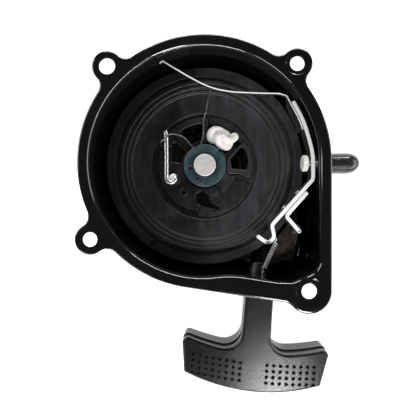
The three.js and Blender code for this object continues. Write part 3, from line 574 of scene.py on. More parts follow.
def painted_shade_nylon():
    """The same nylon coloured nearly black all over: painted shade for the rope's outlet in the case's dark
    corner.
    """
    look = Look("painted_shade_nylon", IOR=1.5)
    film = look.noise(5, 4.0, 0.6)
    look.bump(look.noise(0.4, 2.0), 0.015)
    # Painted shade: the whole outlet is coloured nearly black, as if it lay in shadow.
    colour = look.ramp(film, (0.3, (0.0025, 0.0025, 0.003)), (0.7, (0.005, 0.005, 0.0055)))
    return look.done(colour, look.span(film, 0.32, 0.5, 0.3, 0.7))


def black_pvc():
    """Soft moulded PVC: satin skin with fine leathery grain and handling marks."""
    look = Look("black_pvc", IOR=1.52, Sheen_Weight=0.05, Sheen_Roughness=0.5)
    grain = look.noise(0.45, 3.0, 0.6)
    flow = look.noise(12, 4.0, 0.6, look.stretched((0.5, 1, 1), (0, 0, 0.1)))
    look.bump(flow, 0.12, 0.5)
    look.bump(grain, 0.036)
    colour = look.ramp(flow, (0.3, (0.0052, 0.0054, 0.0066)), (0.75, (0.011, 0.0112, 0.0134)))
    mottle = look.noise(3.2, 3.0, 0.55)
    roughness = look.math("ADD", look.span(mottle, 0.205, 0.255, 0.3, 0.7), look.span(grain, 0, 0.03))
    return look.done(colour, roughness)


def bright_zinc(name="bright_zinc", low=0.2, high=0.42, metallic=1.0):
    """Zinc plate over rolled steel: soft blotches, rolling lines and small pits."""
    look = Look(name, Metallic=metallic)
    blotch = look.noise(1.8, 4.0, 0.6)
    lines = look.noise(0.5, 3.0, 0.6, look.stretched((1, 1, 0.1)))
    pits = look.span(look.cells(1.3), 0, 1, 0.02, 0.12)
    look.bump(lines, 0.012)
    look.bump(pits, 0.01)
    colour = look.ramp(blotch, (0.3, (0.6, 0.61, 0.63)), (0.68, (0.83, 0.83, 0.83)))
    roughness = look.math("ADD", look.span(blotch, high, low, 0.3, 0.7), look.span(lines, 0, 0.08))
    return look.done(colour, roughness)


def spring_wire():
    """Hard-drawn wire, grey and oily, with drawing lines and a few bright rubs."""
    look = Look("spring_wire", Metallic=1.0)
    cloud = look.noise(2.4, 4.0, 0.6)
    lines = look.noise(0.25, 2.0, 0.5)
    look.bump(lines, 0.008)
    oily, bare, rubbed = (0.1, 0.095, 0.09), (0.2, 0.19, 0.18), (0.36, 0.35, 0.34)
    colour = look.ramp(cloud, (0.3, oily), (0.55, bare), (0.75, rubbed))
    return look.done(colour, look.span(cloud, 0.42, 0.26, 0.3, 0.7))


def sheared_zinc():
    """Zinc plate on a strip: smooth rolled faces, and matt sheared edges coloured near white, which is partly
    a painted highlight on the faces that point up or down.
    """
    look = Look("sheared_zinc")
    blotch = look.noise(2.2, 4.0, 0.6)
    lines = look.noise(0.5, 3.0, 0.6, look.stretched((1, 1, 0.1)))
    turned = look.node("ShaderNodeTexCoord").outputs["Normal"]
    upwards = look.node("ShaderNodeSeparateXYZ", {0: turned}).outputs[2]
    edge = look.span(look.math("ABSOLUTE", upwards), 0, 1, 0.35, 0.8)
    look.bump(lines, 0.014)
    face = look.ramp(blotch, (0.3, (0.42, 0.41, 0.4)), (0.7, (0.66, 0.66, 0.66)))
    # Partly painted highlight: the faces that point up or down, the strip's sheared edges, are coloured near
    # white and made less metallic.
    pale = look.ramp(blotch, (0.3, (0.86, 0.87, 0.88)), (0.7, (0.95, 0.95, 0.95)))
    look.feed(look.shader.inputs["Metallic"], look.span(edge, 1.0, 0.25))
    smooth = look.span(blotch, 0.32, 0.2, 0.3, 0.7)
    roughness = look.math("ADD", smooth, look.math("MULTIPLY", edge, 0.25))
    return look.done(look.mix(edge, face, pale), roughness)


def turned_steel():
    """Lathe-turned steel, with rings from the tool round its axis."""
    look = Look("turned_steel", Metallic=1.0)
    rings = look.line_noise(look.axis_distance(), 0.32, 5.0)
    smear = look.noise(4, 4.0)
    look.bump(rings, 0.012)
    shade = look.math("ADD", look.math("MULTIPLY", rings, 0.6), look.math("MULTIPLY", smear, 0.4))
    colour = look.ramp(shade, (0.3, (0.62, 0.6, 0.585)), (0.7, (0.92, 0.9, 0.88)))
    return look.done(colour, look.span(rings, 0.5, 0.66, 0.3, 0.7))


def blue_steel():
    """Heat-blued washer: teal that turns to straw and grey in thin rings and patches."""
    look = Look("blue_steel", Metallic=1.0)
    radius = look.axis_distance()
    patches = look.noise(4.5, 5.0, 0.6)
    rings = look.line_noise(radius, 0.5, 3.0)
    across = look.span(radius, 0, 1, SHAFT_RADIUS * MM, WASHER_RADIUS * MM)
    tint = look.math("ADD", look.math("MULTIPLY", patches, 0.85), look.math("MULTIPLY", across, 0.15))
    look.bump(rings, 0.008)
    colour = look.ramp(
        tint, (0.25, (0.035, 0.075, 0.11)), (0.42, (0.06, 0.125, 0.155)), (0.58, (0.12, 0.18, 0.185)),
        (0.75, (0.25, 0.24, 0.18)),
    )
    return look.done(colour, look.span(rings, 0.42, 0.58, 0.3, 0.7))


def dark_steel(name="dark_steel", low=(0.035, 0.03, 0.028), high=(0.11, 0.085, 0.07)):
    """Phosphated spring steel, brown-black and oily."""
    look = Look(name, Metallic=0.9)
    cloud = look.noise(3, 5.0, 0.65)
    grain = look.noise(0.3, 2.0)
    look.bump(grain, 0.01)
    colour = look.ramp(cloud, (0.3, low), (0.7, high))
    return look.done(colour, look.span(cloud, 0.3, 0.5, 0.3, 0.7))


def white_rope():
    """Braided nylon yarn: fine fibres and some random dirt, with painted shade along the lines between the
    strands.
    """
    look = Look("white_rope", Sheen_Weight=0.3, Sheen_Roughness=0.4, Specular_IOR_Level=0.3)
    fibre = look.noise(0.16, 3.0, 0.7, look.stretched((1, 0.35, 1), (0.4, 0.3, 0.8)))
    dirt = look.noise(2.6, 4.0, 0.6)
    strands = look.span(look.cells(1.05, "DISTANCE_TO_EDGE"), 0, 1, 0.0, 0.13)
    look.bump(strands, 0.08)
    look.bump(fibre, 0.07)
    clean = look.ramp(dirt, (0.24, (0.66, 0.62, 0.54)), (0.4, (0.9, 0.89, 0.86)), (0.7, (0.95, 0.95, 0.93)))
    # Painted shade: the darker, yellower lines between the strands stand in for the shade in the braid's
    # crevices.
    colour = look.mix(strands, (0.66, 0.61, 0.5), clean)
    return look.done(colour, look.span(fibre, 0.65, 0.95))


def braided_lead():
    """The same yarn on the straight lead, where the braid follows the rope's line. Painted shade darkens the
    braid's grooves and turns the lead almost black inside the case.
    """
    look = Look("white_rope_lead", Sheen_Weight=0.3, Sheen_Roughness=0.4, Specular_IOR_Level=0.3)
    exit_point = (-ROPE_EXIT[0] * MM, -ROPE_EXIT[1] * MM, -ROPE_Z * MM)
    shifted_by = {"Vector": look.coordinates, "Location": exit_point}
    turned_by = {
        "Vector": look.node("ShaderNodeMapping", shifted_by).outputs[0],
        "Rotation": (0, 0, math.radians(-LEAN)),
    }
    along = look.node("ShaderNodeMapping", turned_by).outputs[0]
    parts = look.node("ShaderNodeSeparateXYZ", {0: along}).outputs
    turn = look.math("MULTIPLY", look.math("ARCTAN2", parts[0], parts[2]), 6.0)
    pitch = look.math("MULTIPLY", parts[1], 2 * math.pi / (1.5 * MM))
    left = look.math("COSINE", look.math("ADD", turn, pitch))
    right = look.math("COSINE", look.math("SUBTRACT", turn, pitch))
    braided = look.span(look.math("MAXIMUM", left, right), 0, 1, -0.4, 1)
    fibre = look.noise(0.16, 3.0, 0.7)
    look.bump(braided, 0.16)
    look.bump(fibre, 0.05)
    # Painted shade: the yarn is coloured darker in the braid's grooves.
    clean = look.ramp(braided, (0.0, (0.5, 0.46, 0.39)), (0.5, (0.86, 0.84, 0.8)))
    # Painted shade: past a ragged line near the exit, the lead inside the case is coloured almost black, as
    # if the case's shadow hid it.
    ragged = look.math("ADD", parts[1], look.math("MULTIPLY", look.noise(3, 3.0), 6 * MM))
    colour = look.mix(look.span(ragged, 0, 1, -4 * MM, 6 * MM), clean, (0.022, 0.019, 0.016))
    return look.done(colour, look.span(fibre, 0.65, 0.95))


def white_nylon():
    """Natural nylon, cloudy and slightly yellow, with moulding grain."""
    look = Look("white_nylon", IOR=1.53, Subsurface_Weight=0.1, Subsurface_Scale=0.0006)
    grain = look.noise(0.4, 3.0, 0.6)
    cloud = look.noise(2.5, 3.0)
    look.bump(grain, 0.05)
    colour = look.ramp(cloud, (0.3, (0.7, 0.69, 0.63)), (0.7, (0.84, 0.84, 0.8)))
    return look.done(colour, look.span(grain, 0.35, 0.6))


def cap_rubber():
    """Pushed-on cap: shiny soft vinyl with lengthwise flow marks."""
    look = Look("cap_vinyl", IOR=1.5, Coat_Weight=0.25, Coat_Roughness=0.12)
    flow = look.noise(1.6, 3.0, 0.5, look.stretched((0.15, 1, 1)))
    look.bump(flow, 0.06)
    colour = look.ramp(flow, (0.3, (0.012, 0.012, 0.013)), (0.7, (0.024, 0.024, 0.026)))
    return look.done(colour, look.span(flow, 0.2, 0.38, 0.3, 0.7))


# The rope leaves the reel's outer layer at a tangent, so it leans a little from -Y.
LEAN = math.degrees(math.acos(ROPE_TANGENT / math.hypot(*ROPE_EXIT))) - 360 + bearing(*ROPE_EXIT)


# ---------------------------------------------------------------- case
def corner_centre(facing_a, distance_a, facing_b, distance_b):
    """Centre of the rounding between two walls, each given by its facing and distance."""
    a, b = at(facing_a), at(facing_b)
    cross = a[0] * b[1] - a[1] * b[0]
    da, db = distance_a - CORNER_RADIUS, distance_b - CORNER_RADIUS
    return ((da * b[1] - db * a[1]) / cross, (db * a[0] - da * b[0]) / cross)


def wall_outline(out=0.0):
    """The inside of the wall, moved outwards: round, but it swings out to the rope's corner."""
    swing = curve_through(
        [
            at(267, WALL_RADIUS - 0.1), (3, -57.7), (8, -57.2), (13, -57.0), (19.6, -57.45), (30, -59.1),
            (36.5, -60.1),
        ],
        6,
    )
    low = corner_centre(BOTTOM_FACING, WALL_RADIUS, BEVEL_FACING, BEVEL_DISTANCE)
    high = corner_centre(BEVEL_FACING, BEVEL_DISTANCE, 360, WALL_RADIUS)
    inside = [
        *arc(0, 0, WALL_RADIUS, 0, 262, 2), *[tuple(p) for p in swing],
        *arc(*low, CORNER_RADIUS, 270, BEVEL_FACING, 3), *arc(*high, CORNER_RADIUS, BEVEL_FACING, 358, 4),
    ]
    return offset(inside, out)


def angle_between(a, b, opposite):
    return math.degrees(math.acos((a * a + b * b - opposite * opposite) / (2 * a * b)))


def flange_outline(out=0.0):
    """The flange's edge, moved outwards. Two concave fillets lead into each ear."""
    made, edge, to_fillet, reached = [], FLANGE_RADIUS + out, FLANGE_RADIUS + EAR_FILLET, 0
    for x, y, r, _ in EARS:
        reach, far, facing = r + EAR_FILLET, math.hypot(x, y), bearing(x, y)
        at_axis = angle_between(far, to_fillet, reach)
        at_ear = angle_between(far, reach, to_fillet)
        before, after = facing - at_axis, facing + at_axis
        fillet = EAR_FILLET - out
        made += arc(0, 0, edge, reached, before, 2)
        made += arc(*at(before, to_fillet), fillet, before + 180, facing + at_ear, 6)
        made += arc(x, y, r + out, facing + at_ear - 180, facing - at_ear + 180, 6)
        made += arc(*at(after, to_fillet), fillet, facing - at_ear, after - 180, 6)
        reached = after
    (x, y, r, _), down = CORNER_EAR, at(FLANGE_BOTTOM_FACING)
    below = FLANGE_RADIUS + CORNER_EAR_FILLET - (x * down[0] + y * down[1])
    across = math.sqrt((r + CORNER_EAR_FILLET) ** 2 - below**2)
    fillet_x = x + below * down[0] + across * down[1]
    fillet_y = y + below * down[1] - across * down[0]
    facing = bearing(x - fillet_x, y - fillet_y)
    made += arc(0, 0, edge, reached, FLANGE_BOTTOM_FACING, 2)
    made += arc(fillet_x, fillet_y, CORNER_EAR_FILLET - out, FLANGE_BOTTOM_FACING - 180, facing, 5)
    made += arc(x, y, r + out, facing + 180, 360, 5)
    return made


def quarter(centre_out, centre_z, r, start, end, steps=6):
    """(outward distance, height) pairs round a quarter turn of a section."""
    turns = (math.radians(start + (end - start) * i / steps) for i in range(steps + 1))
    return [(centre_out + r * math.cos(a), centre_z + r * math.sin(a)) for a in turns]


def starter_case(material):
    """Pressed shell with a rolled mouth and a flange whose edge is turned down."""
    skin = Skin()
    root, mouth, border, drop, edge = 1.5, 2.6, 1.7, 0.6, 0.8
    under, lip, fillet = CASE_DEPTH - SHEET, CASE_DEPTH - FLANGE_LIP, FLOOR_FILLET - SHEET
    slopes = [math.radians(90 - 10 * i) for i in range(10)]
    sections = {
        "outside": [
            *quarter(SHEET - FLOOR_FILLET, FLOOR_FILLET, FLOOR_FILLET, -90, 0, 9),
            *quarter(SHEET + root, under - root, root, 180, 90, 5),
        ],
        "inside": [
            *quarter(mouth, CASE_DEPTH - mouth, mouth, 90, 180, 7),
            *quarter(-fillet, FLOOR_FILLET, fillet, 0, -90, 8),
        ],
        "rim": [
            *quarter(-SHEET - edge, under - edge, edge, 90, 0, 4),
            *quarter(-SHEET / 2, lip + SHEET / 2, SHEET / 2, 180, 360, 6),
            *[(border * (math.sin(a) - 1), CASE_DEPTH - drop * (1 - math.cos(a))) for a in slopes],
        ],
    }
    rings = {}
    for name, section in sections.items():
        outline = flange_outline if name == "rim" else wall_outline
        rings[name] = [skin.ring(outline(out), z) for out, z in section]
    for name in sections:
        skin.chain(rings[name])

    pads = (5.7, 0, 0, 6.6)
    holes = [bolt_hole(skin, ear, pad, under) for ear, pad in zip([*EARS, CORNER_EAR], pads)]
    skin.plate(rings["rim"][-1], rings["inside"][0], *[top for top, _ in holes])
    skin.plate(rings["rim"][0], rings["outside"][-1], *[below for _, below in holes])

    raised_floor = [
        (14.3, 1.5), (13.8, 1.56), (13.3, 1.78), (12.9, 2.2), (12.5, 2.9), (12.2, 3.25), (11.7, 3.46),
        (11.2, 3.5), (6.3, 3.5),
    ]
    hollow_below = [(6.3, 2.0), (9.6, 2.0), (10.2, 1.94), (10.6, 1.7), (11.0, 0.7), (11.4, 0.2), (12.0, 0.0)]
    boss = [skin.ring(circle(0, 0, r, 96), z) for r, z in [*raised_floor, *hollow_below]]
    skin.chain(boss)
    skin.plate(rings["inside"][-1], boss[0])
    skin.plate(rings["outside"][0], boss[-1])
    case = skin.piece("pressed_case")

    rope_hole = along_rope(lathed("rope_hole", bar_profile(4.9, -6, 6), 48))
    rod_hole = along_stop_rod(lathed("rod_hole", bar_profile(4.2, WALL_RADIUS - 2, 62), 48))
    boolean(case, [rope_hole, rod_hole])
    return finished(case, material, "housing", "starter_case")


def bolt_hole(skin, ear, pad, under):
    """A punched hole with a rounded mouth. pad is the radius of a shallow round seat, or 0."""
    x, y, _, r = ear
    top = CASE_DEPTH
    section = []
    if pad:
        top -= 0.35
        section += [(pad + 0.6, CASE_DEPTH), (pad + 0.3, CASE_DEPTH - 0.1)]
        section += [(pad - 0.1, top + 0.1), (pad - 0.4, top)]
    section += [(r + 0.5, top), (r + 0.2, top - 0.1), (r, top - 0.4)]
    section += [(r, under + 0.25), (r + 0.1, under + 0.06), (r + 0.3, under)]
    rings = [skin.ring(circle(x, y, radius, 56), z) for radius, z in section]
    skin.chain(rings)
    return rings[0], rings[-1]


def bar_profile(radius, start, end):
    return [(0, start), (radius, start), (radius, end), (0, end)]


def along_rope(piece):
    """Turns a piece made round +Z to lie along the rope, its origin at the exit."""
    turn = Matrix.Rotation(math.radians(LEAN), 4, "Z") @ Matrix.Rotation(math.radians(90), 4, "X")
    return moved(piece, Matrix.Translation((*ROPE_EXIT, ROPE_Z)) @ turn)


def along_stop_rod(piece):
    turn = Matrix.Rotation(math.radians(90), 4, "Y")
    return moved(piece, Matrix.Translation((0, 0, STOP_ROD_Z)) @ turn)


# ---------------------------------------------------------------- shaft and what it carries
def soft_profile(points, step=22.5):
    """A turned profile with its (r, z, radius) corners rounded."""
    return rounded(points, closed=points[0][0] > ON_AXIS, step=step)


def turned(name, points, segments):
    return lathed(name, soft_profile(points), segments)


def centre_shaft(material):
    neck, neck_low, neck_high = SHAFT_RADIUS - 0.7, CLIP_Z - 0.1, CLIP_Z + 1.1
    profile = [
        (0, 0), (9, 0, 0.5), (9, 1.7, 0.2), (SHAFT_RADIUS, 1.7), (SHAFT_RADIUS, 3.8), (8, 3.8, 0.2),
        (8, 4.6, 0.2), (SHAFT_RADIUS, 4.6), (SHAFT_RADIUS, neck_low), (neck, neck_low), (neck, neck_high),
        (SHAFT_RADIUS, neck_high), (SHAFT_RADIUS, SHAFT_TOP, 0.45), (0.75, SHAFT_TOP),
        (0, SHAFT_TOP - 0.35),
    ]
    return finished(turned("turned_shaft", profile, 96), material, "housing", "centre_shaft")


def thrust_washer(material):
    inner, low, high = SHAFT_RADIUS + 0.3, WASHER_Z, WASHER_Z + 1
    profile = [(inner, low, 0.15), (WASHER_RADIUS, low, 0.2), (WASHER_RADIUS, high, 0.25), (inner, high, 0.2)]
    washer = turned("blued_washer", profile, 120)
    boolean(washer, [disc("notch", at(WASHER_NOTCH, WASHER_RADIUS), 0.9, 24, low - 1, high + 1)])
    return finished(washer, material, "housing", "thrust_washer")


def snap_ring(material):
    """An open ring, broadest at its back, with an eye at each end."""
    first, second = CLIP_EYES
    inner, outer, swell = SHAFT_RADIUS - 0.4, SHAFT_RADIUS + 1.25, 0.25
    low, high = CLIP_Z, CLIP_Z + 1
    opposite = (first + second) / 2 + 180
    outside = []
    for p in arc(0, 0, 1, second + 4, first + 356, 4):
        angle = bearing(*p)
        outside.append(at(angle, outer + swell * math.cos(math.radians(angle - opposite)) - 0.1))
    outline = [*outside, *arc(0, 0, inner, first + 356, second + 4, 4)]
    ring = slab("snap_ring", outline, low, high, 0.12, 0.18)
    places = [at(angle, outer + 0.6) for angle in CLIP_EYES]
    boolean(ring, [disc("eye", place, 1.5, 36, low, high, 0.12, 0.18) for place in places], "UNION")
    boolean(ring, [flared_cutter("hole", circle(*place, 0.62, 20), low - 1, high, 0.15) for place in places])
    return finished(ring, material, "housing", "circlip", sharp=40)


# ---------------------------------------------------------------- reel
# Corners of the openings and lands that aren't parts of rings: (bearing, distance, corner radius).
SIDE_WINDOW = (
    (-4.5, 14.9, 1.2), (-4.8, 19, 12), (-5, 23.6, 1.6), (3, 24.5, 14), (12, 24.7, 14), (20, 24.6, 14),
    (29, 23.9, 1.5), (16, 15.0, 2.2),
)
SIDE_RIM = (
    (-20, 13.0, 2.0), (-14, 17.4, 1.6), (-12.5, 20, 3), (-17, 26.4, 1.6), (-6, 27.0, 12), (8, 27.2, 14),
    (22, 27.1, 14), (33, 26.2, 1.8), (20, 13.0, 2.2),
)
KEY_TAIL = (
    (262, 20.6, 0.8), (268, 22.6, 0.8), (288.4, 25.6, 0.4), (289.6, 24.6, 0.4), (280, 21.2, 1.0),
    (277.5, 17.8, 0.6),
)


def reel_profile():
    """The reel's turned section, with the moulding's radii."""
    return soft_profile(
        [
            (8.1, 4.9, 0.2), (10.8, 4.9, 0.3), (10.8, 12.6, 0.8), (23.2, 12.6, 0.8),
            (23.2, REEL_BOTTOM, 0.3), (50, REEL_BOTTOM, 0.6), (50, 5.4, 0.6), (24.8, 5.4, 0.8),
            (24.8, 13.8, 0.8), (37.8, 13.8, 1), (40.5, 16, 1), (REEL_RADIUS, 16, 0.4),
            (REEL_RADIUS, 18.6, 0.6), (49.6, 18.6, 0.45), (49.2, 17.5, 0.25), (47.5, 17.5, 0.25),
            (47, REEL_TOP, 0.5), (45.3, REEL_TOP, 0.3), (45.05, 19.6, 0.2), (44.6, 19.6, 0.2),
            (44.35, REEL_TOP, 0.3), (42.8, REEL_TOP, 0.4), (42.4, 18.9, 0.25), (41.5, 18.9, 0.25),
            (41.1, 19.75, 0.3), (40.3, 17.7, 0.6), (36.0, 16.7, 6), (29.7, 16, 0.35), (29.4, 14.6, 0.12),
            (28.3, 14.6, 0.12), (28.15, PLATEAU, 0.1), (HUB_RADIUS + 0.4, PLATEAU, 0.3),
            (HUB_RADIUS, HUB_TOP, 0.4), (8.1, HUB_TOP, 0.3),
        ],
        step=15,
    )


def ring_outline(corners, step=9.0):
    """A closed outline from (bearing, distance, corner radius)."""
    return rounded([(*at(angle, distance), r) for angle, distance, r in corners], True, step)


def rope_reel(material):
    """The turned moulding: moats first, then the lands that they go round, then the openings."""
    reel = lathed("moulded_reel", reel_profile(), 240)
    through, recess = 11.6, PLATEAU - 1.9
    land, bridge = PLATEAU + 1.05, PLATEAU + 0.7
    boss, keyhole, mark = at(231, 19.0), at(264.5, 17.6), at(129, 31)
    moated = [
        (sector(86, 134, 12.7, 27.9, 1.4), bridge, 0.35), (ring_outline(SIDE_RIM, 15), land, 0.45),
        (sector(173, 262.5, 12.2, 25.6, 1.2), land, 0.4),
        (sector(176, 300, 12.2, 17.4, 1.0), land - 0.05, 0.4),
    ]
    round_lands = [
        (circle(*PAWL_PIVOT, 3.4, 48), land + 0.2, 0.4), (circle(*boss, 2.6, 48), land + 0.55, 0.6),
    ]
    for outline, _, _ in moated:
        boolean(reel, [flared_cutter("moat", offset(outline, 0.5), PLATEAU - 0.85, PLATEAU, 0.1)])
    for outline, top, soft in [*moated, *round_lands]:
        boolean(reel, [slab("raised", outline, PLATEAU - 1.1, top, high=soft)], "UNION")

    # Each opening: its outline, the height of its floor and mouth, and its flare and floor radius.
    openings = {
        "side": (ring_outline(SIDE_WINDOW, 15), through, land, 0.5),
        "upper": (sector(92.5, 125, 14.6, 24.1, 1.5), through, bridge, 0.5),
        "pocket": (sector(32, 84, 13.1, 24.3, 1.5), through, bridge, 0.4),
        "shallow": (sector(298, 342, 17.9, 27.6, 1.2), PLATEAU - 0.7, PLATEAU, 0.12, 0.2),
        "shelf": (sector(279, 297, 18.2, 26.6, 0.8), PLATEAU - 0.6, PLATEAU, 0.15, 0.2),
        "dark": (sector(139.5, 172.5, 13.0, 22.6, 1.8), PLATEAU - 2.1, PLATEAU, 0.35, 0.5),
        "groove": (sector(136, 262, 26.0, 28.35, 0.9), PLATEAU - 0.85, PLATEAU, 0.1, 0.1),
        "boss_dip": (circle(*boss, 1.0, 32), PLATEAU - 0.8, land + 0.55, 0.3, 0.3),
        "pivot_hole": (circle(*PAWL_PIVOT, 1.65, 32), through, land + 0.2, 0.3),
        "mark": (circle(*mark, 0.45, 20), 16.0, 16.35, 0.1),
    }
    for name, opening in openings.items():
        boolean(reel, [flared_cutter(name, *opening)])
    round_moat = lathed("moat", [(11, 15.5), (12.35, 15.5), (12.35, 18), (11, 18)], 120)
    boolean(reel, [shifted(round_moat, -0.4, -0.35)])
    boolean(reel, [flared_cutter("key", circle(*keyhole, 3.9, 56), recess, land - 0.1, 0.35, 0.5)])
    boolean(reel, [flared_cutter("tail", ring_outline(KEY_TAIL), recess + 0.05, land, 0.25, 0.3)])

    outer, inner = REEL_RADIUS + 1, 49.9
    for angle, width in ((97, 1.3), (236, 2.2)):
        starts = (*at(angle - width / 3, inner), 0.3), at(angle - width, outer)
        ends = at(angle + width, outer), (*at(angle + width / 3, inner), 0.3)
        boolean(reel, [flared_cutter("notch", rounded([*starts, *ends], True), 17.6, 18.6, 0.25)])
    boolean(reel, [swept("tunnel", knot_tail_line(), 2.4, 20)])
    return finished(reel, material, "reel", "reel", sharp=38)


def knot_tail_line():
    """From the knot's pocket down through the drum to the groove."""
    places = ((18, 15.6), (21.8, 13), (24.4, ROPE_Z))
    return curve_through([(*at(KNOT_BEARING, distance), z) for distance, z in places], 5)


# ---------------------------------------------------------------- rope
def braid(depth, pitch=6.4, strands=8):
    """Relief of a round braid: two sets of strands that pass over and under each other."""

    def relief(along, turn):
        a = strands / 2 * turn + 2 * math.pi * along / pitch * strands / 4
        b = strands / 2 * turn - 2 * math.pi * along / pitch * strands / 4
        over = 0.5 + 0.5 * math.sin(a + b)
        first = math.sqrt(abs(math.cos(a))) * (0.55 + 0.45 * over)
        second = math.sqrt(abs(math.cos(b))) * (1 - 0.45 * over)
        return depth * (max(first, second) - 0.75)

    return relief


def resampled(line, step):
    """The same line with points a fixed step apart."""
    line = [np.array(p, float) for p in line]
    lengths = [0.0]
    for a, b in zip(line, line[1:]):
        lengths.append(lengths[-1] + float(np.linalg.norm(b - a)))
    count = max(2, round(lengths[-1] / step))
    places = np.linspace(0, lengths[-1], count + 1)
    stacked = np.array(line)
    return [tuple(np.interp(s, lengths, stacked[:, k]) for k in range(3)) for s in places]


def rope_knot(material):
    """An overhand knot drawn up tight in the reel's pocket, with a short cut end."""
    points = [
        (*at(KNOT_BEARING, 24.2), ROPE_Z + 0.3), (*at(KNOT_BEARING, 21.6), 13.4), (9.4, 16.6, 14.6),
        (6.4, 14.7, 15.6), (3.9, 15.2, 16.5), (3.4, 17.6, 17.2), (5.0, 19.6, 17.6), (7.6, 19.6, 17.7),
        (10.2, 18.2, 17.4), (12.8, 16.4, 16.7), (13.6, 13.6, 16.0), (12.4, 11.3, 16.4),
        (10.0, 11.6, 17.4), (7.8, 13.4, 18.3), (7.4, 16.0, 19.0), (9.6, 16.6, 19.6), (11.8, 14.6, 19.4),
        (14.3, 14.6, 18.7), (16.5, 16.2, 17.6),
    ]
    line = resampled(curve_through(points, 10), 0.22)
    knot = swept("braided_knot", line, 2.35, 56, relief=braid(0.34))
    return finished(knot, material, "reel", "rope_knot", sharp=180)


def wound_rope(material):
    """Three layers of two turns, lying in the reel's groove."""
    turns = [ring_of_rope(radius, z) for radius in (27.1, 31, 34.9) for z in (7.75, 11.5)]
    return finished(joined("wound_rope", turns), material, "reel", "rope_coil", sharp=180)


def ring_of_rope(radius, z, thickness=1.86, sides=20):
    skin = Skin()
    rings = []
    for angle in np.arange(0, 360, 1.5):
        p = Vector((*at(angle, radius), z))
        out = Vector((p.x, p.y, 0)).normalized()
        points = []
        for k in range(sides):
            turn = 2 * math.pi * k / sides
            points.append(p + (out * math.cos(turn) + Vector((0, 0, math.sin(turn)))) * thickness)
        rings.append(skin.ring(points))
    skin.chain([*rings, rings[0]])
    return skin.piece("turn_of_rope")


# ---------------------------------------------------------------- pawl and friction spring
def pawl(material, head_material):
    """A bent rod: its foot curls round and down into the reel, its tip drives the engine's cup."""
    x, y = PAWL_PIVOT
    z, bend = 18.6, 2.4
    curl = arc(x - 1.8, y + 0.4, bend, 180, 350, 17)
    points = [
        (x - 4.5, 18.4, z), (x - 4.35, 13, z), (x - 4.2, 6, z), (x - 4.2, 0, z),
        *[(px, py, z) for px, py in curl], (x + 0.3, y + 0.75, z - 0.5), (x + 0.02, y + 0.1, z - 1.7),
        (x, y, z - 3), (x, y, 13.4),
    ]
    rod = swept("bent_rod", curve_through(points, 6), 1.36, 32)
    finished(rod, material, "pawl", "pawl", sharp=60)
    dome = [(0, 17.3), (2.2, 17.3), (2.45, 17.7), (2.35, 18.5), (1.9, 18.95), (1.0, 19.2), (0, 19.25)]
    head = shifted(turned("peened_head", dome, 48), x - 0.6, y + 0.5)
    return finished(head, head_material, "pawl", "pawl", sharp=60)


def friction_spring(material):
    """Wire with one turn round the hub, a straight leg, and a leg that loops round the pawl."""
    top, low, high = 20.95, 17.8, 19.25
    free_leg = [
        (2.9, 41.3, top), (1.4, 33, top + 0.1), (0.15, 27.4, top), (-0.5, 26.2, top - 0.25),
        (-0.9, 19.5, 19.9), (-1.7, 13.4, 18.3), (-3.6, 9.8, low),
    ]
    first, sweep = 165, 245
    turns = []
    for angle in np.linspace(first, first + sweep, 11):
        turns.append((*at(angle, 6.95), low + (high - low) * (angle - first) / sweep))
    pawl_leg = [
        (-0.8, 8.8, high), (-5.0, 9.4, high), (-7.4, 11.2, 19.9), (-9.8, 14.0, 20.8),
        (-12.8, 16.0, 20.95), (-15.8, 16.8, 20.8), (-18.3, 17.2, 20.9), (-20.6, 15.9, 21.1),
        (-23.6, 13.3, 20.95), (-24.6, 12.2, 19.4), (-24.2, 11.5, 17.7), (-22.6, 11.4, 16.78),
        (-20.2, 11.4, 16.78), (-18.8, 11.2, 17.4), (-18.5, 10.6, 18.6),
    ]
    line = curve_through([*free_leg, *turns, *pawl_leg], 7)
    wire = swept("bent_wire", line, 0.36, 14)
    return finished(wire, material, "friction_spring", "friction_spring", sharp=60)


# ---------------------------------------------------------------- stop lever
STRIP, LEVER_BOTTOM, LEVER_TOP = 2, 25.2, 33
STRIP_EDGE = 0.28
DIAGONAL_HIGH, DIAGONAL_LOW = Vector((51.2, -13.7)), Vector((40.2, -26))
LEVER_LINE = (
    (45.5, 31.7), (51, 21.5, 40), (56, 4.5, 40), (55.8, -8.6, 3), (34.6, -32.2, 2.5), (36.4, -40.6, 3.6),
    (31.6, -41, 3.6), (27, -37.6),
)


def upright_strip(name, line):
    """A bent strip that stands on edge, its ends blunted and its four long edges softened."""
    right = offset(line, STRIP / 2, closed=False)
    left = offset(line, -STRIP / 2, closed=False)
    outline = [*right, *reversed(left)]
    ends = {0, len(right) - 1, len(right), len(outline) - 1}
    marked = [(*p, STRIP * 0.35) if i in ends else p for i, p in enumerate(outline)]
    outline = rounded(marked, closed=True, step=18)
    return slab(name, outline, LEVER_BOTTOM, LEVER_TOP, STRIP_EDGE, STRIP_EDGE)


def diagonal_out():
    """Square to the lever's diagonal, towards the case's corner."""
    diagonal = DIAGONAL_HIGH - DIAGONAL_LOW
    return Vector((diagonal.y, -diagonal.x)).normalized()


def across_diagonal(piece, share):
    """Turns a piece made round +Z to cross the lever's diagonal, facing the case's corner."""
    p = DIAGONAL_LOW + (DIAGONAL_HIGH - DIAGONAL_LOW) * share
    turn = Matrix.Rotation(math.radians(bearing(*diagonal_out())), 4, "Z")
    turn = turn @ Matrix.Rotation(math.pi / 2, 4, "Y")
    return moved(piece, Matrix.Translation((p.x, p.y, STOP_ROD_Z)) @ turn)


def drilled_for_rivets(piece):
    for share in RIVET_SHARES:
        boolean(piece, [across_diagonal(disc("drill", (0, 0), 1.1, 24, -4, 7), share)])
    return piece


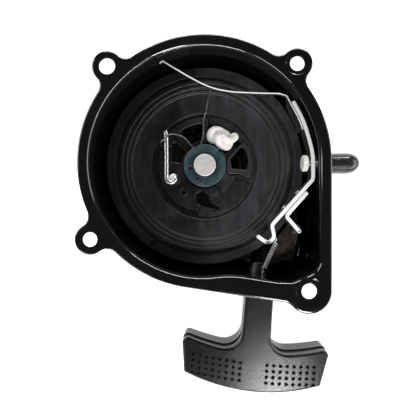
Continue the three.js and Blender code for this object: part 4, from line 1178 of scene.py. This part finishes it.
def stop_lever(material):
    lever = upright_strip("bent_lever", rounded(LEVER_LINE, step=6))
    boolean(lever, [along_stop_rod(disc("rod_hole", (0, 0), 2.6, 36, 50, 60))])
    return finished(drilled_for_rivets(lever), material, "lever", "stop_lever", sharp=40)


def lever_bracket(material):
    """Doubles the lever along its diagonal, then turns out to an eye on the pivot pin."""
    shift = diagonal_out() * (STRIP + 0.3)
    high, bend = DIAGONAL_HIGH + shift, DIAGONAL_LOW + shift
    line = rounded([tuple(high), (*bend, 1.6), LEVER_PIVOT], step=9)
    bracket = upright_strip("doubling_strip", line)
    eye = disc("eye", LEVER_PIVOT, 1.02, 40, LEVER_BOTTOM, LEVER_TOP, STRIP_EDGE, STRIP_EDGE)
    boolean(bracket, [eye], "UNION")
    boolean(bracket, [disc("bore", LEVER_PIVOT, 0.55, 28, LEVER_BOTTOM - 1, LEVER_TOP + 1)])
    return finished(drilled_for_rivets(bracket), material, "lever", "lever_bracket", sharp=40)


def lever_rivets(material):
    """Round-headed rivets through lever and bracket."""
    inner, outer, neck, head, rise = -1.3, 3.6, 0.9, 1.6, 0.6
    climb = [math.radians(a) for a in (20, 40, 60, 80)]
    fall = [math.radians(a) for a in (10, 30, 50, 70)]
    profile = [
        (0, inner - rise), *[(head * math.sin(a), inner - rise * math.cos(a)) for a in climb],
        (head, inner), (neck, inner), (neck, outer), (head, outer),
        *[(head * math.cos(a), outer + rise * math.sin(a)) for a in fall], (0, outer + rise),
    ]
    for i, share in enumerate(RIVET_SHARES):
        rivet = across_diagonal(lathed(f"rivet_{i + 1}", profile, 32), share)
        finished(rivet, material, "lever", f"lever_rivet_{i + 1}")


def lever_leaf(material):
    """A thin spring leaf, narrow over the reel, that widens where it runs along the lever."""
    lever_line = rounded(LEVER_LINE, step=6)
    fixed = [p for p in lever_line if p[1] > 12.5]
    fixed = offset(fixed, (STRIP + 0.8) / 2 + 0.3, closed=False)
    sweep = [(-21.6, 52.2), (-14.6, 48), (-7.6, 43.9), (2.7, 38.9), (12, 36.7), (26, 35.8), (38.6, 35.5)]
    bend = (42.2, 34.3)
    free = [tuple(p) for p in curve_through(sweep, 7)]
    narrow, deep, transition = 2.0, 9.6, 6.0
    corners = [(-23.2, 51), (*free[0], 0.4), *free[1:-1], (*free[-1], 1.0), (*bend, 1.6), *fixed]
    line = [tuple(p) for p in rounded(corners, step=18)]
    skin = Skin()
    right, left = offset(line, 0.4, closed=False), offset(line, -0.4, closed=False)
    start = next(i for i, p in enumerate(line) if p[0] > bend[0] - 1.0)
    travelled, rings = 0.0, []
    for i, p in enumerate(line):
        if i > start:
            travelled += math.dist(p, line[i - 1])
        share = min(1.0, travelled / transition)
        share = share * share * (3 - 2 * share)
        depth = narrow + (deep - narrow) * share
        top, bottom = LEVER_TOP, LEVER_TOP - depth
        a, b = Vector(right[i]), Vector(left[i])
        soft = 0.15
        corners = [
            (a.lerp(b, soft), bottom), (a.lerp(b, 1 - soft), bottom), (b, bottom + soft), (b, top - soft),
            (b.lerp(a, soft), top), (b.lerp(a, 1 - soft), top), (a, top - soft), (a, bottom + soft),
        ]
        rings.append(skin.ring([(q.x, q.y, z) for q, z in corners]))
    skin.chain(rings)
    skin.faces.append(tuple(rings[0]))
    skin.faces.append(tuple(rings[-1]))
    leaf = skin.piece("spring_leaf")
    return finished(leaf, material, "lever", "lever_leaf", sharp=40)


def lever_stand(material):
    """A plate on a round foot, outside the reel's rim."""
    plate = rounded(
        [
            *arc(0, 0, REEL_RADIUS + 2, -48, -35, 2), (52.6, -32.9, 1.5), (50.6, -38.2, 2.5),
            (47.2, -50.9, 1.2), (37.4, -50.5, 1.2),
        ],
        closed=True,
    )
    stand = slab("stand_plate", thinned(plate), 18.4, 20.4, 0.3, 0.6)
    foot = disc("foot", (45.6, -43.2), 3, 48, 1.8, 19.4, 0.4, 0.1)
    boolean(stand, [foot], "UNION")
    boolean(stand, [disc("bore", LEVER_PIVOT, 1.45, 32, 16, 22)])
    return finished(stand, material, "housing", "lever_stand", sharp=40)


def lever_pin(material):
    profile = [
        (0, 16.9), (2, 16.9, 0.3), (2, 18.1, 0.1), (1.15, 18.1), (1.15, LEVER_BOTTOM - 0.3, 0.1),
        (0.45, LEVER_BOTTOM - 0.1), (0.45, LEVER_TOP - 0.2, 0.15), (0, LEVER_TOP - 0.2),
    ]
    pin = shifted(turned("headed_pin", profile, 40), *LEVER_PIVOT)
    return finished(pin, material, "housing", "lever_pin")


def lever_spacer(material):
    profile = [(1.35, 20.7, 0.1), (1.9, 20.7, 0.2), (1.9, 24.9, 0.2), (1.35, 24.9, 0.1)]
    spacer = shifted(turned("pin_collar", profile, 40), *LEVER_PIVOT)
    return finished(spacer, material, "housing", "lever_spacer")


def tension_spring(material):
    """A close-wound coil with a hook over the lever's lower bend and a hook on the stud."""
    top, low = Vector((37.7, -40.9, 28.6)), Vector((32.3, -56.2, 22.4))
    axis = (low - top).normalized()
    side = axis.cross(Vector((0, 0, 1))).normalized()
    lift = side.cross(axis).normalized()
    coil, wire, turns, per_turn = 0.96, 0.36, 12, 16
    start, end = top + axis * 0.6, low - axis * 0.2
    line = []
    for i in range(turns * per_turn + 1):
        a = 2 * math.pi * i / per_turn
        p = start.lerp(end, i / (turns * per_turn))
        line.append(tuple(p + (side * math.cos(a) + lift * math.sin(a)) * coil))

    def near(p, along, across, up):
        return tuple(p + axis * along + side * across + lift * up)

    hook_top = [near(top, *d) for d in ((-1.4, 1.2, -0.6), (-0.9, 0.4, 0.2), (-0.2, 0.4, 0.1))]
    hook_low = [
        near(low, *d)
        for d in ((0.5, 0.5, 0.5), (1.6, 0, 0.7), (2.6, 0, 0.6), (3.1, 0, -0.1), (2.4, 0, -0.7))
    ]
    whole = [*curve_through([*hook_top, line[0]], 5)[:-1], *line]
    whole += curve_through([line[-1], *hook_low], 5)[1:]
    spring = swept("coil_spring", whole, wire, 10)
    finished(spring, material, "lever", "tension_spring", sharp=180, ride=False)
    apply_modifiers(spring)
    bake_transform(spring)
    return spring


def spring_stud(material):
    profile = [(0, 0), (1, 0), (1, 2.6), (1.7, 2.6, 0.15), (1.7, 3.4, 0.3), (0, 3.4)]
    stud = turned("headed_stud", profile, 32)
    place = Matrix.Translation((32.4, -59.2, 21.6)) @ Matrix.Rotation(math.radians(-90), 4, "X")
    return finished(moved(stud, place), material, "housing", "spring_stud")


# ---------------------------------------------------------------- stop rod and its ferrule
def stop_rod(material):
    profile = [(0, 52.0), (1.55, 52.0, 0.2), (1.55, 75, 0.5), (0, 75)]
    rod = along_stop_rod(turned("round_rod", profile, 36))
    return finished(rod, material, "stop_rod", "stop_rod")


def stop_rod_head(material):
    """A moulded button with grip ribs round its edge."""
    inner, face, ribs, per_rib = 51.0, 53.7, 14, 6
    outline = []
    for i in range(ribs * per_rib):
        r = 4.1 + 0.17 * math.cos(2 * math.pi * i / per_rib)
        outline.append(at(360 * i / (ribs * per_rib), r))
    button = slab("ribbed_button", outline, inner, face, 0.7, 0.25)
    boolean(button, [disc("socket", (0, 0), 1.9, 32, 51.8, 56)])
    return finished(along_stop_rod(button), material, "stop_rod", "stop_rod_head")


def ferrule(material):
    """A threaded sleeve, clamped in the wall."""
    start, end = WALL_RADIUS + 0.3, 70
    profile = [(2.0, start), (3.75, start)]
    z = start + 0.3
    while z < end - 1.2:
        profile += [(3.55, z), (3.88, z + 0.35), (3.88, z + 0.45)]
        z += 0.8
    profile += [(3.5, end - 0.4), (3.3, end), (2.0, end)]
    sleeve = along_stop_rod(lathed("threaded_sleeve", profile, 48))
    return finished(sleeve, material, "housing", "ferrule")


def ferrule_nut(material):
    """A hexagon nut with chamfered corners."""
    start, end = WALL_RADIUS + SHEET + 0.3, 63.7
    hexagon = rounded([(*at(60 * i, 6.0), 0.35) for i in range(6)], closed=True, step=20)
    nut = slab("hexagon_nut", hexagon, start, end, 0.1, 0.1)
    cone = [
        (0, start - 1), (4.6, start - 1), (6.6, start + 1.0), (6.6, end - 0.9), (4.9, end + 0.8),
        (0, end + 0.8),
    ]
    boolean(nut, [turned("cone", cone, 72)], "INTERSECT")
    boolean(nut, [disc("bore", (0, 0), 4.2, 40, start - 1, end + 1)])
    return finished(along_stop_rod(nut), material, "housing", "ferrule_nut")


def ferrule_cap(material):
    """A soft pushed-on cap: ringed mouth, two ribs along its top and a rounded nose."""
    start, end, r, bore, nose_length = 64, 80.7, 5.5, 4.2, 7.2
    shoulder = end - nose_length
    turns = [math.radians(a) for a in range(8, 90, 8)]
    nose = [(r * math.cos(a) ** 0.8, shoulder + nose_length * math.sin(a)) for a in turns]
    profile = [
        (0, end - 3), (2.6, end - 4), (bore, shoulder), (bore, start + 0.2), (bore + 0.2, start),
        (r, start), (5.7, start + 0.25), (5.7, start + 1.5), (r - 0.1, start + 1.9), (r, shoulder), *nose,
        (0.4, end - 0.02), (0, end),
    ]
    cap = along_stop_rod(lathed("soft_cap", profile, 96))
    for side in (-1, 1):
        y = side * 1.75
        rib = []
        for x, z in ((66.2, 0.3), (68, 0.02), (72, -0.02), (75.5, -0.6), (77.6, -1.9)):
            rib.append((x, y, STOP_ROD_Z + math.sqrt(r * r - y * y) + z - 0.15))
        boolean(cap, [swept("rib", curve_through(rib, 6), 0.42, 14)], "UNION")
    return finished(cap, material, "housing", "ferrule_cap", sharp=40)


# ---------------------------------------------------------------- rope outlet and handle
QUARTER_STEPS = [math.radians(15 * i) for i in range(7)]


def rope_outlet(material):
    wall, bore, flange = 1.2, 2.7, 6.2
    profile = [
        (bore + 1.2, -6.5, 0.4), (5.0, -6.5, 0.6), (flange, -wall, 0.2), (4.6, -wall), (4.6, wall),
        (flange, wall, 0.2), (flange, wall + 2.3, 1.1), (bore + 0.9, wall + 2.3, 0.5),
        (bore, wall + 1.2, 0.8), (bore, -7, 1),
    ]
    outlet = along_rope(turned("outlet_bush", profile, 72))
    return finished(outlet, material, "housing", "rope_outlet")


def rope_lead(material):
    """The rope from the reel to its knot in the handle."""
    clear = math.sqrt((ROPE_TANGENT + 2 * ROPE_RADIUS + 0.3) ** 2 - ROPE_TANGENT**2)
    inside = math.sqrt(ROPE_EXIT[0] ** 2 + ROPE_EXIT[1] ** 2 - ROPE_TANGENT**2) - clear
    outside, spans = 47.6, 300
    line = [(0, 0, -inside + (inside + outside) * i / spans) for i in range(spans + 1)]
    lead = along_rope(swept("rope_lead_braid", line, 1.93, 32, relief=braid(0.14, 6.0), round_ends=False))
    finished(lead, material, "handle", "rope_lead", sharp=180, ride=False)
    apply_modifiers(lead)
    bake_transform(lead)
    return lead


def handle_outline():
    """A bowed bar and a stem towards the case, with the rope exit as the origin."""
    low_arc, high_arc, high_middle = 112, 131, -43.9
    low_end, left_end, right_end, near_end = 38.2, 40.9, 42.6, 7.0
    stem_left, stem_right, near_stem = 7.6, 8.7, 13.0

    def low(u):
        return HANDLE_BOTTOM + low_arc - math.sqrt(low_arc**2 - u * u) - BAR_TILT * u

    def high(u):
        return high_middle + high_arc - math.sqrt(high_arc**2 - u * u) - BAR_TILT * u

    below = np.linspace(-low_end + near_end, low_end - near_end, 28)
    right = np.linspace(right_end - near_end, stem_right + near_stem, 9)
    left = np.linspace(-stem_left - near_stem, -left_end + near_end, 9)
    outline = rounded(
        [
            (-low_end, low(-low_end), 1.3), *[(u, low(u)) for u in below], (low_end, low(low_end), 1.3),
            (right_end, high(right_end), 3.2), *[(u, high(u)) for u in right],
            (stem_right, high(stem_right), 9.5), (stem_right - 0.2, STEM_TOP, 2.5),
            (-stem_left + 0.2, STEM_TOP, 2.5), (-stem_left, high(-stem_left), 9.5),
            *[(u, high(u)) for u in left], (-left_end, high(-left_end), 3.2),
        ],
        closed=True,
        step=9,
    )
    return thinned(outline, 0.15)


def pull_handle(material):
    """Moulded T handle in two halves: the rear one stands proud of the parting step."""
    half, edge = HANDLE_THICKNESS / 2, 1.3
    front = [(-edge - 0.1 + edge * math.sin(a), half - edge + edge * math.cos(a)) for a in QUARTER_STEPS]
    section = [(o, z, 0) for o, z in front]
    section += [(-0.3, 2.9, 0.2), (-0.75, 2.6, 0.4), (-0.75, 2.2, 0.6), (-0.2, 1.8, 1.0)]
    section += [(-0.45, -3.0, 1.5)]
    section += [(o - 0.5, -z, 1.8) for o, z in reversed(front)]
    outline = handle_outline()

    def proud(y, amount):
        """The rear half grows towards the case along the bar, but not along the stem."""
        share = max(0, min(1, (y + 55) / 8)) * max(0, min(1, (-28 - y) / 8))
        return y + amount * share * share * (3 - 2 * share)

    layers = []
    for o, z, amount in reversed(section):
        layers.append(([(x, proud(y, amount)) for x, y in offset(outline, o)], ROPE_Z + z))
    handle = lofted("moulded_handle", layers)
    crowned(handle)
    places = [(face, side) for face in (-1, 1) for side in (-1, 1)]
    dimples = [dimple(*place, row, column) for place in places for row in range(4) for column in range(8)]
    boolean(handle, [joined("dimples", dimples)])
    moved(handle, Matrix.Translation((*ROPE_EXIT, 0)) @ Matrix.Rotation(math.radians(LEAN), 4, "Z"))
    bore = [(0, 1), (4.4, 1), (4.4, -STEM_TOP - 0.2), (2.5, -STEM_TOP + 1.6, 1), (2.5, 66), (0, 66)]
    pocket = [(0, 46, 0), (5.4, 46, 0.6), (5.4, 62.4, 1.2), (7.4, 64.6), (7.4, 68), (0, 68)]
    boolean(handle, [along_rope(turned("bore", bore, 40))])
    boolean(handle, [along_rope(turned("pocket", pocket, 56))])
    return finished(handle, material, "handle", "pull_handle", sharp=34)


def crown_drop(x):
    """How far the handle's faces fall away from their middle line."""
    return CROWN * min(1.0, (x / 40) ** 2)


def crowned(piece):
    """Splits the handle into strips across its bar and bends both faces down at its ends."""
    work = bmesh.new()
    work.from_mesh(piece.data)
    for x in np.arange(-38, 39, 2.0):
        whole = [*work.verts, *work.edges, *work.faces]
        bmesh.ops.bisect_plane(work, geom=whole, plane_co=(x * MM, 0, 0), plane_no=(1, 0, 0))
    for point in work.verts:
        share = (point.co.z / MM - ROPE_Z) / (HANDLE_THICKNESS / 2)
        point.co.z -= crown_drop(point.co.x / MM) * share * abs(share) * MM
    work.to_mesh(piece.data)
    work.free()


def dimple(face, side, row, column):
    """One small round dimple of a grip, laid out along the bar's bow."""
    first, pitch, row_pitch, bow = 7.4, 3.77, 3.3, 445
    x = side * (first + pitch * column)
    y = HANDLE_BOTTOM + 15.9 - row_pitch * row + x * x / (2 * bow) - BAR_TILT * x
    depth, radius = 1.3, 0.95
    turns = [math.radians(a) for a in (25, 50, 72)]
    profile = [
        (0, -depth), *[(radius * math.sin(a), -depth * math.cos(a)) for a in turns], (radius, -0.12),
        (radius + 0.1, -0.03), (radius + 0.16, 0.02), (radius + 0.16, 0.4), (0, 0.4),
    ]
    z = ROPE_Z + face * (HANDLE_THICKNESS / 2 - crown_drop(x))
    flip = Matrix.Rotation(math.pi if face < 0 else 0, 4, "X")
    return moved(lathed("dimple", profile, 20), Matrix.Translation((x, y, z)) @ flip)


def handle_washer(material):
    profile = [(2.4, 46.3, 0.1), (5.0, 46.3, 0.2), (5.0, 47.3, 0.25), (2.4, 47.3, 0.15)]
    washer = along_rope(turned("knot_washer", profile, 48))
    return finished(washer, material, "handle", "handle_washer")


def handle_knot(material):
    """The outer knot, drawn up against its washer."""
    top = 47.9
    points = [
        (0, 0, top + 0.6), (0.2, 0.2, top + 2.2), (2.4, 0.4, top + 4.2), (1.6, 2.4, top + 6.4),
        (-1.4, 2.2, top + 6.0), (-2.5, -0.2, top + 3.4), (-1.2, -2.4, top + 3.2), (1.6, -2.2, top + 5.0),
        (1.4, 0.2, top + 7.4), (0.4, 0.8, top + 9.4), (0.8, 0.6, top + 12.2),
    ]
    line = resampled(curve_through(points, 10), 0.22)
    knot = along_rope(swept("handle_knot_braid", line, 1.75, 44, relief=braid(0.25)))
    return finished(knot, material, "handle", "handle_knot", sharp=180)


# ---------------------------------------------------------------- studio
def studio():
    """The camera over the starter, a pale floor, a dim sky and seven softboxes."""
    sensor, frame_width, frame_distance = 36, 208, 180
    scene = bpy.context.scene
    camera = bpy.data.objects.new("camera", bpy.data.cameras.new("camera"))
    camera.data.sensor_width = sensor
    camera.data.lens = sensor * frame_distance / frame_width
    camera.location = (1.75 * MM, -23.35 * MM, 218 * MM)
    camera.data.clip_start, camera.data.clip_end = 0.01, 10
    scene.collection.objects.link(camera)
    scene.camera = camera

    floor_look = Look("pale_floor", Emission_Color=(0.97, 0.98, 1, 1), Emission_Strength=0.93)
    mottle = floor_look.noise(60, 3.0)
    shade = floor_look.ramp(mottle, (0.3, (0.86, 0.86, 0.86)), (0.7, (0.9, 0.9, 0.9)))
    skin = Skin()
    skin.faces.append(tuple(skin.ring(circle(0, -20, 1500, 64), -0.05)))
    floor = skin.piece("floor")
    floor.data.materials.append(floor_look.done(shade, 0.9))

    world = bpy.data.worlds.new("studio")
    scene.world = world
    world.use_nodes = True
    sky = world.node_tree.nodes["Background"]
    sky.inputs["Color"].default_value = (0.93, 0.96, 1.0, 1)
    sky.inputs["Strength"].default_value = 0.055
    scene.view_settings.view_transform = "Standard"

    softboxes = (
        ("left", (-560, 240, 330), 420, 300, 4), ("right", (610, 50, 300), 500, 300, 3),
        ("front", (128, -345, 415), 130, 50, 46), ("front_left", (-380, -420, 380), 250, 200, 4),
        ("front_right", (530, -400, 300), 520, 60, 19), ("front_strip", (0, -700, 300), 600, 50, 34),
        ("back_strip", (40, 620, 330), 700, 50, 32),
    )
    for name, place, width, height, radiance in softboxes:
        lamp = bpy.data.lights.new(name, "AREA")
        lamp.shape = "RECTANGLE"
        lamp.size, lamp.size_y = width * MM, height * MM
        lamp.energy = radiance * math.pi * lamp.size * lamp.size_y
        light = bpy.data.objects.new(name, lamp)
        light.location = Vector(place) * MM
        aim = Vector((0, -20, 10)) * MM - light.location
        light.rotation_euler = aim.to_track_quat("-Z", "Y").to_euler()
        scene.collection.objects.link(light)


# ---------------------------------------------------------------- assembly
def dressed(node, material):
    """A CAD node that keeps its shape takes the material on its own slots."""
    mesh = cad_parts[node].data
    mesh.materials.clear()
    mesh.materials.append(material)


def build():
    studio()
    paint, nylon, pvc = black_paint(), black_nylon(), black_pvc()
    zinc, steel, dark, rope = bright_zinc(), turned_steel(), dark_steel(), white_rope()
    rod_zinc = bright_zinc("rod_zinc", 0.16, 0.34)
    strip_zinc, wire = sheared_zinc(), spring_wire()

    starter_case(paint)
    centre_shaft(steel)
    thrust_washer(blue_steel())
    snap_ring(dark_steel("grey_steel", (0.03, 0.032, 0.035), (0.1, 0.1, 0.11)))
    rope_reel(nylon)
    rope_knot(rope)
    wound_rope(rope)
    pawl(rod_zinc, bright_zinc("peened_zinc", 0.42, 0.6, 0.5))
    friction_spring(wire)
    stop_lever(strip_zinc)
    lever_bracket(strip_zinc)
    lever_rivets(zinc)
    lever_leaf(strip_zinc)
    lever_stand(dark)
    lever_pin(wire)
    lever_spacer(wire)
    tension_spring(bright_zinc("spring_zinc", 0.26, 0.42, 0.75))
    spring_stud(dark)
    stop_rod(zinc)
    stop_rod_head(white_nylon())
    ferrule(zinc)
    ferrule_nut(zinc)
    ferrule_cap(cap_rubber())
    rope_outlet(painted_shade_nylon())
    pull_handle(pvc)
    handle_washer(zinc)
    handle_knot(rope)
    rope_lead(braided_lead())
    oily = dark_steel("oily_steel", (0.02, 0.018, 0.018), (0.045, 0.038, 0.035))
    dressed("mainspring", oily)
    dressed("mainspring_pin", dark)
    dressed("reel_bush", steel)


build()
